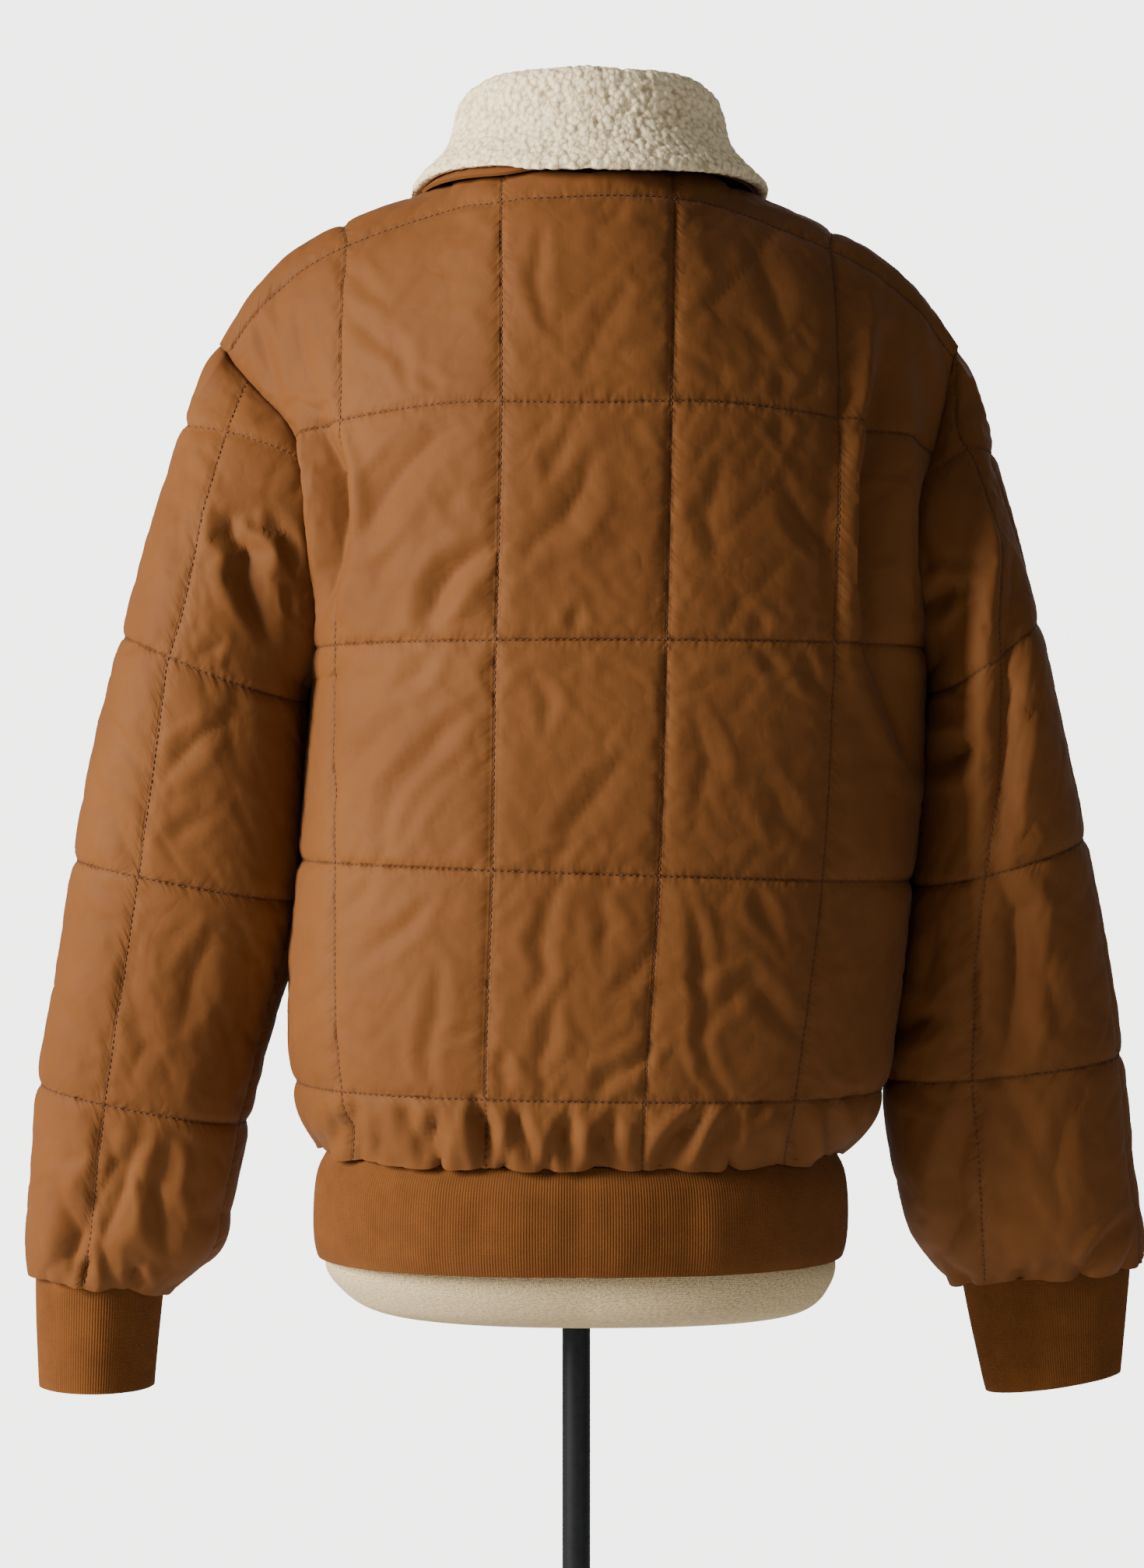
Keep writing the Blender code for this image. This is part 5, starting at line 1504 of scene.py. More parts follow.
class Sleeve(Quilted):
    """A quilted sleeve: a tube whose first ring is the armhole seam."""

    sizes = SleeveSizes()

    def __init__(self, side: Side, back: Panel, front: Panel, seed: int) -> None:
        """Lay out the sleeve from the armhole down.

        Args:
            side: the wearer's left or right.
            back: the back panel.
            front: this side's front.
            seed: which noise.
        """
        z = self.sizes
        self.side = side
        half = z.columns // 2
        behind_rows, behind = BODY.armhole(Face.BACK, side, half)
        ahead_rows, ahead = BODY.armhole(Face.FRONT, side, half)
        seam = np.concatenate([behind[::-1], ahead[1:-1]])
        lengths = between([0.0, *z.marks, z.end], z.counts, 0.3)
        first = side.pick(z.line_angle)
        step = 2 * pi / z.columns
        twist = (first + step / 2) % step - step / 2
        rings = [self._ring(length, seam, twist, step) for length in lengths]
        inner = np.array([np.concatenate([ring, ring[:1]]) for ring in rings])
        soft = np.clip((z.eased_to[0] - lengths) / z.eased_to[1], 0, 1)[None, :]
        inner = eased(inner.transpose(1, 0, 2), soft, z.eased_rows).transpose(1, 0, 2)
        normals = normals_of(inner, closed=True)
        middle = inner[:, :-1].mean(axis=1, keepdims=True)
        if ((inner - middle) * normals).sum(axis=2)[-20:].mean() < 0:
            normals = -normals
        columns = [float(round((first + k * pi / 2) / step) % z.columns) for k in range(4)]
        rows = [float(r) for r in np.cumsum(z.counts)[1:-1]]
        columns[0] = self._line_down(inner)
        columns[3] = np.where(np.arange(len(lengths)) < z.cap_rows[1], np.nan, columns[3])
        rows.append(self._line_over())
        super().__init__(inner, normals, rows, columns, SLEEVE_CREASES[side], True, len(lengths) - 1, seed)
        self._mitre(back, front, behind_rows, ahead_rows)

    def _line_down(self, inner: Array) -> Array:
        """Return the column, in each row, of the stitching that is seen down the back of the sleeve.

        Args:
            inner: the sleeve's inside, rows x columns x 3.

        Returns:
            A column for each row.
        """
        seen = VIEW.seen(inner[:, : self.sizes.columns // 2 + 1])
        path = np.array(SLEEVE_LINES[self.side], float)
        wanted = np.interp(seen[..., 1], path[:, 1], path[:, 0])
        past = (seen[..., 0] - wanted) * self.side
        line = np.empty(len(past))
        for row, values in enumerate(past):
            crossings = np.flatnonzero((values[:-1] < 0) & (values[1:] >= 0))
            c = int(crossings[0]) if len(crossings) else 0
            line[row] = c + np.clip(-values[c] / (values[c + 1] - values[c]), 0, 1)
        pad = 4
        wide = np.pad(line, pad, mode="edge")
        weights = np.exp(-0.5 * (np.arange(-pad, pad + 1) / 2) ** 2)
        return np.array([np.average(wide[r:r + 2 * pad + 1], weights=weights) for r in range(len(line))])

    def _line_over(self) -> Array:
        """Return the row, in each column, of the stitching that crosses the sleeve's head.

        Returns:
            A row for each column; not a number where the line has ended.
        """
        z = self.sizes
        round_it = np.arange(z.columns + 1.0)
        away = np.minimum(round_it, z.columns - round_it) / z.cap_columns
        return np.where(away < 1, self.side.pick(z.cap_rows) * (1 - away**2), np.nan)

    def _ring(self, length: float, seam: Array, twist: float, step: float) -> Array:
        """Return the inside of the sleeve at a length from the armhole.

        Args:
            length: metres from the armhole.
            seam: the armhole's points.
            twist: angle by which the columns are turned.
            step: angle between two columns.

        Returns:
            The ring's points, the first not repeated.
        """
        z = self.sizes
        table = SLEEVE_RINGS[self.side]
        row = table_at(table, "length", max(length, z.first_ring))
        share = min(1.0, length / z.marks[1])
        angle = np.arange(z.columns) * step + twist * share
        outer = np.array((self.side * (row.outer_x - COVER), 0, row.outer_z))
        inner = np.array((self.side * (row.inner_x + COVER), 0, row.inner_z))
        c, s = np.cos(angle), np.sin(angle)
        centre, spread = self.side.pick(z.lean_middle), self.side.pick(z.lean_reach)
        rests = np.exp(-(((length - centre) / spread) ** 4))
        power = z.exponent + z.squarer * rests * ((c < 0) & (s < 0))
        reach = (np.abs(c) ** power + np.abs(s) ** power) ** (-1 / power)
        plain = (outer + inner) / 2 + np.outer(c * reach, (outer - inner) / 2)
        plain[:, 0] -= self.side * z.lean * rests * np.clip(-c, 0, 1) ** 2
        plain[:, 1] += row.y + (row.half_depth - COVER) * s * reach
        keep = max(0.0, 1 - max(length, z.first_ring) / z.head_reach) ** z.head_power
        plain[:, 1] += (seam[:, 1] - plain[:, 1]) * keep
        return seam + (plain - seam) * (1 - max(0.0, 1 - length / z.blend) ** z.blend_power)

    def _mitre(self, back: Panel, front: Panel, behind: Array, ahead: Array) -> None:
        """Turn the sleeve's and the panels' edges at the armhole to one even direction.

        Args:
            back: the back panel.
            front: this side's front.
            behind: the back's rows at the seam's points.
            ahead: the front's.
        """
        half = self.sizes.columns // 2
        own = self.normals[0, :-1]
        theirs = np.concatenate([
            back.edge_normals(self.side, behind)[::-1], front.edge_normals(self.side, ahead)[1:-1],
        ])
        mixed = (theirs + own) / np.maximum(1 + (theirs * own).sum(-1, keepdims=True), 0.75)
        reach = np.arange(self.sizes.columns)
        away = np.minimum(reach, self.sizes.columns - reach)
        kernel = np.exp(-0.5 * (away / self.sizes.mitre) ** 2)
        spectrum = np.fft.fft(mixed, axis=0) * np.fft.fft(kernel / kernel.sum())[:, None]
        own = np.real(np.fft.ifft(spectrum, axis=0))
        self.normals[0] = np.concatenate([own, own[:1]])
        back.take_normals(self.side, behind, own[: half + 1][::-1])
        front.take_normals(self.side, ahead, np.concatenate([own[half:], own[:1]]))
        outer, inner = self.inner[-1, 0], self.inner[-1, half]
        axis = np.cross(unit(outer - inner), (0, 1, 0))
        last = self.normals[-1]
        self.normals[-1] = unit(last - (last @ axis)[:, None] * axis)

    def build(self, name: str, finish: Material) -> Piece:
        """Make the sleeve's wall, a gap off the body.

        Args:
            name: the piece's name, or its node's.
            finish: its material.

        Returns:
            The new object.
        """
        for grid in (self.inner, self.outer):
            grid[0] += ARMHOLE_GAP * unit(grid[1] - grid[0])
        return wall(
            f"{name}_quilted", self.inner, self.outer, finish, (name,),
            closed=True, marks=self.marks,
        )


# ---------------------------------------------------------------- stitching
@dataclass(frozen=True)
class Stitching:
    """Thread along the quilting: one small rounded dash a stitch."""

    pitch: float = 0.0040
    length: float = 0.0027
    width: float = 0.00085
    proud: float = 0.0003

    def sew(self, name: str, lines: Sequence[tuple[Array, Array]], finish: Material) -> Piece:
        """Lay stitches along lines.

        Args:
            name: the piece's name.
            lines: points and normals of each line.
            finish: the thread's material.

        Returns:
            All the stitches as one piece.
        """
        bm = bmesh.new()
        for points, normals in lines:
            along = lengths_along(points)
            for at in np.arange(self.pitch, along[-1] - self.pitch, self.pitch):
                here, ahead = (
                    Vector(read_path(at + off, along, points)) for off in (-self.length / 2, self.length / 2)
                )
                out = Vector(read_path(at, along, normals))
                run = (ahead - here).normalized()
                across = out.cross(run).normalized()
                out = run.cross(across)
                size = Matrix.Diagonal((self.length / 2, self.width / 2, self.width / 2, 1))
                turn = Matrix((run, across, out)).transposed().to_4x4()
                place = Matrix.Translation((here + ahead) / 2 + out * self.proud) @ turn @ size
                bmesh.ops.create_icosphere(bm, subdivisions=1, radius=1, matrix=place)
        return show(name, bm, finish)


# ---------------------------------------------------------------- knitted bands
@dataclass(frozen=True)
class KnitBand:
    """A rib-knit band: real ribs round a tube."""

    rib: float = 0.0017
    relief: float = 0.00022
    tuck: float = 0.0050  # how far the top hides under the shell
    thickness: float = 0.003
    steps: int = 4  # columns a rib
    rows: int = 16
    puff: float = 0.0012
    wave: float = 0.03
    hem_length: float = 0.935
    hem_bell: float = 0.002
    hem_ease: float = 0.0015  # how far its top lies under the seam
    seeds: tuple[int, int] = (300, 320)  # hem, cuffs

    def _ribbed(self, middle: Array, out: Array, seed: int) -> tuple[Array, Array]:
        """Return inner and outer grids with ribs raised on the outer one.

        Args:
            middle: outer surface without ribs, rows x columns x 3, closed.
            out: its outward normals.
            seed: which noise.

        Returns:
            The two grids.
        """
        columns = middle.shape[1] - 1
        phase = np.arange(columns + 1) * 2 * pi / self.steps
        ribs = np.cos(phase)[None, :] * self.relief
        up = np.linspace(0, 1, middle.shape[0])[:, None]
        place = middle / self.wave
        wave = self.puff * noise(place * (1, 1, 0.35), seed) * np.sin(pi * np.clip(up, 0.0, 1)) ** 0.5
        wave += 0.35 * self.puff * noise(place * (2.6, 2.6, 0.8), seed + 1)
        wave[:, -1] = wave[:, 0]
        edge = 1 - 0.35 * np.exp(-(np.minimum(up, 1 - up) * (self.rows / 1.2)) ** 2)
        outer = middle + out * (ribs * edge + wave)[..., None]
        return middle + out * (wave - self.thickness)[..., None], outer

    def columns_for(self, length: float) -> int:
        """Return grid columns for whole ribs round a length."""
        return max(8, round(length / self.rib)) * self.steps

    def hem(self, finish: Material) -> Piece:
        """Make the hem band.

        Args:
            finish: its material.

        Returns:
            The new object.
        """
        seam = SECTIONS[0]
        columns = self.columns_for(self.hem_length)
        angle = np.linspace(0, 2 * pi, columns + 1)
        angle[-1] = 0.0
        c, s = np.cos(angle), np.sin(angle)
        reach = (np.abs(c) ** ROUND + np.abs(s) ** ROUND) ** (-1 / ROUND)
        rows = []
        for t in np.linspace(0, 1, self.rows + 1):
            tucked = self.tuck * np.exp(-((t / 0.12) ** 1.5))
            bell = self.hem_bell * sin(pi * t) - tucked - self.hem_bell * t**10
            top = np.where(c > 0, seam.left, seam.right)
            low = np.where(c > 0, HEM_BOTTOM_HALF[Side.LEFT], HEM_BOTTOM_HALF[Side.RIGHT])
            half = top + (low - top) * t + bell
            depth = np.where(s > 0, seam.back, seam.front) + bell
            z = HEM_SEAM_Z - self.hem_ease + (HEM_BOTTOM_Z - HEM_SEAM_Z) * t
            rows.append(np.stack([half * c * reach, depth * s * reach, np.full_like(c, z)], axis=-1))
        middle = even_columns(np.array(rows))
        out = normals_of(middle, closed=True)
        if (out * middle)[..., :2].sum() < 0:
            out = -out
        out[..., 2] = 0
        inner, outer = self._ribbed(middle, unit(out), self.seeds[0])
        return wall("hem_rib_knit", inner, outer, finish, ("hem_rib",), closed=True)

    def cuff(self, side: Side, sleeve_end: Array, finish: Material) -> Piece:
        """Make a cuff under the sleeve's end ring.

        Args:
            side: the wearer's left or right.
            sleeve_end: the last ring of the sleeve's inside.
            finish: its material.

        Returns:
            The new object.
        """
        size = CUFFS[side]
        outer_point, inner_point = sleeve_end[0], sleeve_end[(len(sleeve_end) - 1) // 2]
        slope = (outer_point[2] - inner_point[2]) / (outer_point[0] - inner_point[0])
        columns = self.columns_for(2 * pi * (size.top_half + size.half_depth) / 2)
        angle = np.linspace(0, 2 * pi, columns + 1)
        angle[-1] = 0.0
        rows = []
        for t in np.linspace(0, 1, self.rows + 5):
            centre_x = side * (size.top_x + (size.bottom_x - size.top_x) * t)
            half = size.top_half + (size.bottom_half - size.top_half) * t
            tilt = slope * (1 - t) + size.slope * side * t
            top_z = inner_point[2] + slope * (centre_x - inner_point[0]) - SEAM_GAP
            x = half * np.cos(angle)
            rows.append(np.stack([
                centre_x + side * x, size.y + size.half_depth * np.sin(angle),
                top_z + (size.bottom_z - top_z) * t + tilt * side * x,
            ], axis=-1))
        middle = even_columns(np.array(rows))
        out = normals_of(middle, closed=True)
        centre = middle[:, :-1].mean(axis=1, keepdims=True)
        if (out * (middle - centre)).sum() < 0:
            out = -out
        inner, outer = self._ribbed(middle, out, self.seeds[1] + side)
        name = f"cuff_{side.label}"
        return wall(f"{name}_knit", inner, outer, finish, (name,), closed=True)


def even_columns(grid: Array) -> Array:
    """Space a closed grid's columns evenly along its middle row.

    Args:
        grid: rows x columns x 3.

    Returns:
        A grid of the same size.
    """
    ring = grid[len(grid) // 2]
    along = lengths_along(ring)
    steps = np.linspace(0, along[-1], len(ring))
    index = np.interp(steps, along, np.arange(len(ring)))
    low = np.minimum(index.astype(int), len(ring) - 2)
    t = (index - low)[None, :, None]
    even = grid[:, low] * (1 - t) + grid[:, low + 1] * t
    even[:, -1] = even[:, 0]
    return even


# ---------------------------------------------------------------- collar
@dataclass(frozen=True)
class Collar:
    """The fold-over collar: curly fleece outside, shell cloth under the fall."""

    fleece: float = 0.007
    under: float = 0.002
    ease: float = 0.0023
    fold_radius: float = 0.008
    end: float = radians(176)
    stations: int = 440
    steps: int = 112
    nub: float = 0.0046
    nub_height: float = 0.0017
    fringe: float = 0.0022  # how far the curls hang over the lower edge
    peek: tuple[float, float] = (0.45, 1.45)  # angles between which the under side shows
    short: float = 0.034  # share of the sheet by which the upper or the under side stops short
    blur: float = 0.05  # angle over which that changes
    rounding: float = 0.0045  # of the fleece's edges
    warp: tuple[float, float] = (0.007, 0.0016)  # size and strength of what bends the curls' rows
    swell: tuple[float, float] = (0.030, 0.0009)  # size and height of soft waves in the pile
    hem: float = 0.006  # how near the lower edge the curls hang over it
    under_grid: tuple[int, int] = (180, 56)
    slack: tuple[float, float] = (0.018, 0.0004)  # size and height of the under side's waves

    def _station(self, angle: float) -> tuple[Array, Array]:
        """Return the neckline point at an angle from centre back, and the level way out from it.

        Args:
            angle: from centre back, in radians; above 0 on the left.

        Returns:
            The point, and the direction.
        """
        side, turn = Side.LEFT if angle >= 0 else Side.RIGHT, abs(angle)
        face = Face.BACK if turn <= pi / 2 else Face.FRONT
        share = (turn if face > 0 else pi - turn) / (pi / 2)
        point = BODY.neckline(face, side, np.array(share))
        turned = share * pi / 2
        out = np.array((side * sin(turned) / NECK_HALF_WIDTH, face * cos(turned) / NECKLINE[face][0], 0.0))
        return point, unit(out)

    def _line(self, angle: float, steps: int, under: bool) -> tuple[Array, Array]:
        """Return the folded middle line as (out, up), and its normals into the fold.

        Args:
            angle: from centre back, in radians; above 0 on the left.
            steps: grid steps down it.
            under: whether it is the shell side.

        Returns:
            The points, and the normals.
        """
        row = table_at(COLLAR, "angle", abs(angle) * 180 / pi)
        stand = -self.fleece / 2 - self.under - 2 * SEAM_GAP - self.ease
        shoulder = row.fold - self.fold_radius
        middle = stand + self.fold_radius - row.lean
        line = [(stand, 0.0), (stand - row.lean * 0.4, shoulder * 0.5), (stand - row.lean, shoulder)]
        for turn in (pi / 4, pi / 2, 3 * pi / 4):
            line.append((middle - self.fold_radius * cos(turn), shoulder + self.fold_radius * sin(turn)))
        start = np.array((middle + self.fold_radius, shoulder - self.fold_radius * 0.15))
        end = np.array((row.spread, row.edge))
        for t in np.linspace(0, 1, 5):
            point = start + (end - start) * t
            line.append((point[0] - (end[0] - start[0]) * row.sag * sin(pi * t), point[1]))
        coarse = np.array(line)
        along = lengths_along(coarse)
        slopes = np.gradient(coarse, along, axis=0)
        low, high = self.peek
        shows = 1 / (1 + np.exp(-(angle - low) / self.blur)) / (1 + np.exp((angle - high) / self.blur))
        at = np.linspace(0, along[-1] * (1 - self.short * (1 - shows if under else shows)), steps + 1)
        i = np.clip(np.searchsorted(along, at) - 1, 0, len(along) - 2)
        gap = (along[i + 1] - along[i])[:, None]
        points = on_curve((at - along[i])[:, None] / gap, gap, coarse, slopes, i)
        ahead = np.gradient(points, axis=0)
        return points, unit(np.stack([ahead[:, 1], -ahead[:, 0]], axis=1))

    def _sheet(self, stations: int, steps: int, under: bool) -> tuple[Array, Array]:
        """Return the middle sheet of the fleece and its normals into the fold.

        Args:
            stations: grid steps round the neck.
            steps: grid steps down it.
            under: whether it is the shell side.

        Returns:
            The sheet, and the normals.
        """
        grid, normals = [], []
        for angle in np.linspace(-self.end, self.end, stations + 1):
            base, out = self._station(angle)
            points, inward = self._line(angle, steps, under)
            up = np.array((0.0, 0.0, 1.0))
            grid.append(base + points[:, :1] * out + points[:, 1:] * up)
            normals.append(inward[:, :1] * out + inward[:, 1:] * up)
        return np.array(grid), np.array(normals)

    def _edge_share(self, grid: Array, reach: float) -> Array:
        """Return 0 on the sheet's edges, rising as a quarter circle to 1 within a reach of them.

        Args:
            grid: rows x columns x 3.
            reach: how far from an edge the share reaches 1.

        Returns:
            0 to 1, one value a point.
        """
        flat = flat_lengths(grid)
        across, up = flat[..., 0], flat[..., 1]
        away = np.minimum(across - across[:, :1], across[:, -1:] - across)
        away = np.minimum(away, np.minimum(up - up[:1], up[-1:] - up))
        near = np.clip(1 - away / reach, 0, 1)
        return np.sqrt(1 - near**2)

    def build_fleece(self, finish: Material) -> Piece:
        """Make the fleece side with its pile of small curls.

        Args:
            finish: its material.

        Returns:
            The new object.
        """
        grid, normals = self._sheet(self.stations, self.steps, False)
        half = self.fleece / 2
        edge = self._edge_share(grid, self.rounding)
        size, strength = self.warp
        warp = np.stack([noise(grid / size, seed) for seed in (61, 62, 63)], axis=-1) * strength
        curls = domes((grid + warp) / self.nub, 64)
        soft = noise(grid / self.swell[0], 66)
        pile = self.nub_height * (curls - 0.35) + self.swell[1] * soft
        outer = grid - normals * (half * edge + pile * (0.55 + 0.45 * edge))[..., None]
        inner = grid + normals * (half * edge - 0.0002)[..., None]
        down = unit(grid[:, -1:] - grid[:, -4:-3])
        last = flat_lengths(grid)[..., 1]
        hangs = self.fringe * curls * np.clip(1 - (last[:, -1:] - last) / self.hem, 0, 1)
        outer, inner = (sheet + down * hangs[..., None] for sheet in (outer, inner))
        # the finish paints shade into the cracks, where this is low
        marks = {"curl": np.clip(curls, 0, 1)}
        return wall("collar_pile", inner, outer, finish, ("collar_fleece",), marks=marks)

    def build_under(self, finish: Material) -> Piece:
        """Make the shell cloth under the fall.

        Args:
            finish: its material.

        Returns:
            The new object.
        """
        grid, normals = self._sheet(*self.under_grid, True)
        near = self.fleece / 2 + SEAM_GAP
        slack = self.slack[1] * noise(grid / self.slack[0], 71) * self._edge_share(grid, 0.01)
        inner = grid + normals * near
        outer = grid + normals * (near + self.under + slack)[..., None]
        return wall("collar_under_side", inner, outer, finish, ("undercollar",))


# ---------------------------------------------------------------- zip
@dataclass(frozen=True)
class ZipFastening:
    """Woven tapes and metal teeth; the slider and its pull stay as they are in the solids."""

    tape: float = 0.0014
    pitch: float = 0.0026
    tooth: Point = (0.0030, 0.0013, 0.0022)  # across, along, proud
    slider: tuple[float, float] = (1.378, 1.393)  # heights between which it hides the teeth
    margin: float = 0.002  # from the ends of the tape to the teeth
    parted: float = 0.0011  # how far the teeth stand apart above the slider
    lap: float = 0.0008  # how far they reach past the tape's edge

    def build(self, fronts: dict[Side, Panel], cloth: Material, metal: Material) -> None:
        """Make both tapes and their teeth.

        Args:
            fronts: both fronts.
            cloth: the tapes' material.
            metal: the teeth's material.
        """
        for side, name in SIDES:
            panel = fronts[side]
            column = 0 if side > 0 else -1
            edge, out = panel.inner[:, column], panel.normals[:, column]
            far = edge - np.array((side * SEAM_GAP, 0, 0))
            near = edge - np.array((side * (ZIP_HALF_WIDTH - SEAM_GAP / 2 + SEAM_GAP), 0, 0))
            inner = np.stack([near * (1 - t) + far * t for t in np.linspace(0, 1, 7)], axis=1)
            raised = np.broadcast_to(out[:, None] * self.tape, inner.shape)
            tape = wall(
                f"zip_tape_{name}_woven", inner, inner + raised, cloth, (f"zip_tape_{name}",)
            )
            self._teeth(side, name, near + out * self.tape, out, metal)

    def _teeth(self, side: Side, name: str, line: Array, out: Array, metal: Material) -> None:
        """Set one side's row of teeth along the tape's inner edge.

        Args:
            side: the wearer's left or right.
            name: the side's word.
            line: points along the tape's inner edge.
            out: its normals.
            metal: their material.
        """
        bm = bmesh.new()
        along = lengths_along(line)
        across, run, proud = self.tooth
        offset = 0.0 if side > 0 else self.pitch / 2
        for at in np.arange(self.margin + offset, along[-1] - self.margin, self.pitch):
            point = Vector(read_path(at, along, line))
            ahead = Vector(read_path(at + self.margin, along, line))
            if self.slider[0] < point.z < self.slider[1]:
                continue
            apart = self.parted if point.z > self.slider[1] else 0.0
            normal = Vector(read_path(at, along, out))
            run_way = (ahead - point).normalized()
            side_way = normal.cross(run_way).normalized() * -side
            normal = run_way.cross(side_way) * -side
            centre = point + Vector((side * (across / 2 - self.lap + apart), 0, 0)) + normal * proud / 2
            turn = Matrix((side_way, run_way, normal)).transposed().to_4x4()
            place = Matrix.Translation(centre) @ turn @ Matrix.Diagonal((across, run, proud, 1))
            bmesh.ops.create_cube(bm, size=1, matrix=place)
        show(f"zip_teeth_{name}", bm, metal, sharp=30)


# ---------------------------------------------------------------- form and stand
Placing = Callable[[Face, Side, Array], Array]
Profile = Sequence[tuple[float, float]]
QUARTERS = (  # of a ring, in their order round it
    (Face.BACK, Side.LEFT), (Face.FRONT, Side.LEFT), (Face.FRONT, Side.RIGHT), (Face.BACK, Side.RIGHT),
)


@dataclass(frozen=True)
class DressForm:
    """The linen-covered form, smooth and whole under the jacket."""

    share: float = 0.84
    neck_sink: float = 0.0045
    neck_inset: float = 0.95
    shoulder_fall: float = 0.006
    yoke_round: float = 2.0
    exponent: float = 2.3
    columns: tuple[int, int] = (14, 26)
    low_rows: int = 6
    high_rows: int = 44
    neck_level: float = 0.8  # share of its slope that the neck stub loses at one ring
    levelled: int = 3
    neck_steps: tuple[tuple[float, float], ...] = (  # each ring of the stub: step up, scale
        (0.000, 0.820), (0.008, 0.960), (0.014, 0.990), (0.022, 0.995), (0.003, 0.975), (0.001, 0.94),
    )

    def _ring(self, place: Placing) -> Array:
        """Return a closed loop of points from centre back round the left, front and right.

        Args:
            place: places points on one quarter.

        Returns:
            The loop, its first point repeated.
        """
        loop = []
        for face, side in QUARTERS:
            neck = NECK_SHARE[side] / self.share
            shares = between((0.0, neck, 1.0), self.columns, 0)[::face * side]
            loop.append(place(face, side, shares)[:-1])
        ring = np.concatenate(loop)
        return np.concatenate([ring, ring[:1]])

    def _low(self, row: FormRow) -> Placing:
        """Return the placing of points on a level section.

        Args:
            row: the section's sizes.

        Returns:
            The placing.
        """
        def place(face: Face, side: Side, shares: Array) -> Array:
            """Place points by share of the way round a quarter."""
            x, y = quarter(row.half_width, row.back if face > 0 else row.front, shares, self.exponent)
            return np.stack([row.centre + side * x, face * y, np.full_like(x, row.z)], axis=-1)
        return place

    def _high(self, rise: float) -> Placing:
        """Return the placing of points on the shoulders.

        Args:
            rise: 0 at the chest to 1 at the shoulder line.

        Returns:
            The placing.
        """
        base = self._low(FORM_ROWS[-1])

        def place(face: Face, side: Side, shares: Array) -> Array:
            """Place points between the chest and the shoulder line.

            Args:
                face: back or front panel.
                side: the wearer's left or right.
                shares: shares of the way, 0 to 1.

            Returns:
                The points.
            """
            cloth = shares * self.share
            top = BODY.top_line(face, side, cloth)
            top[:, 2] -= SEAM_GAP * 2 + self.shoulder_fall * shares**6
            beside = np.minimum(1.0, cloth / NECK_SHARE[side])
            inner = beside < 1 - 1e-6
            top[:, 2] -= np.where(inner, self.neck_sink * (1 - beside**4), 0)
            inset = np.where(inner, self.neck_inset, 1.0)
            top[:, 0] = NECK_CENTRE_X + (top[:, 0] - NECK_CENTRE_X) * inset
            top[:, 1] *= inset
            low = base(face, side, shares)
            bulge = max(0.0, 1 - rise**self.yoke_round) ** (1 / self.yoke_round)
            return np.stack([
                low[:, 0] + (top[:, 0] - low[:, 0]) * rise,
                top[:, 1] + (low[:, 1] - top[:, 1]) * bulge,
                low[:, 2] + (top[:, 2] - low[:, 2]) * rise,
            ], axis=-1)
        return place

    def build(self, finish: Material) -> Piece:
        """Make the form with its rounded foot and neck stub.

        Args:
            finish: its material.

        Returns:
            The new object.
        """
        columns = np.array([tuple(row) for row in FORM_ROWS])
        slopes = np.gradient(columns, axis=0)
        rings = []
        for value in np.linspace(0, len(columns) - 1, (len(columns) - 1) * self.low_rows + 1):
            i = min(int(value), len(columns) - 2)
            row = FormRow(*on_curve(value - i, 1.0, columns, slopes, i))
            rings.append(self._ring(self._low(row)))
        for k in range(1, self.high_rows + 1):
            rings.append(self._ring(self._high(sin(pi / 2 * k / self.high_rows))))
        grid = np.array(rings)
        bm = grid_mesh(grid, flat_lengths(grid), closed=True)
        bmesh.ops.remove_doubles(bm, verts=bm.verts, dist=1e-6)
        rims = [e for e in bm.edges if e.is_boundary]
        foot = [e for e in rims if e.verts[0].co.z < 0.8]
        neck = [e for e in rims if e.verts[0].co.z > 1.2]
        bmesh.ops.contextual_create(bm, geom=foot)
        for number, (step, scale) in enumerate(self.neck_steps):
            top = bmesh.ops.extrude_edge_only(bm, edges=neck)["geom"]
            neck = [g for g in top if isinstance(g, bmesh.types.BMEdge)]
            verts = [g for g in top if isinstance(g, bmesh.types.BMVert)]
            for vert in verts:
                vert.co.x = NECK_CENTRE_X + (vert.co.x - NECK_CENTRE_X) * scale
                vert.co.y *= scale
                vert.co.z += step
            if number == self.levelled:
                level = sum(v.co.z for v in verts) / len(verts)
                for vert in verts:
                    vert.co.z += (level - vert.co.z) * self.neck_level
        bmesh.ops.contextual_create(bm, geom=neck)
        return show("form_linen", bm, finish, ("form_torso",), sharp=50)


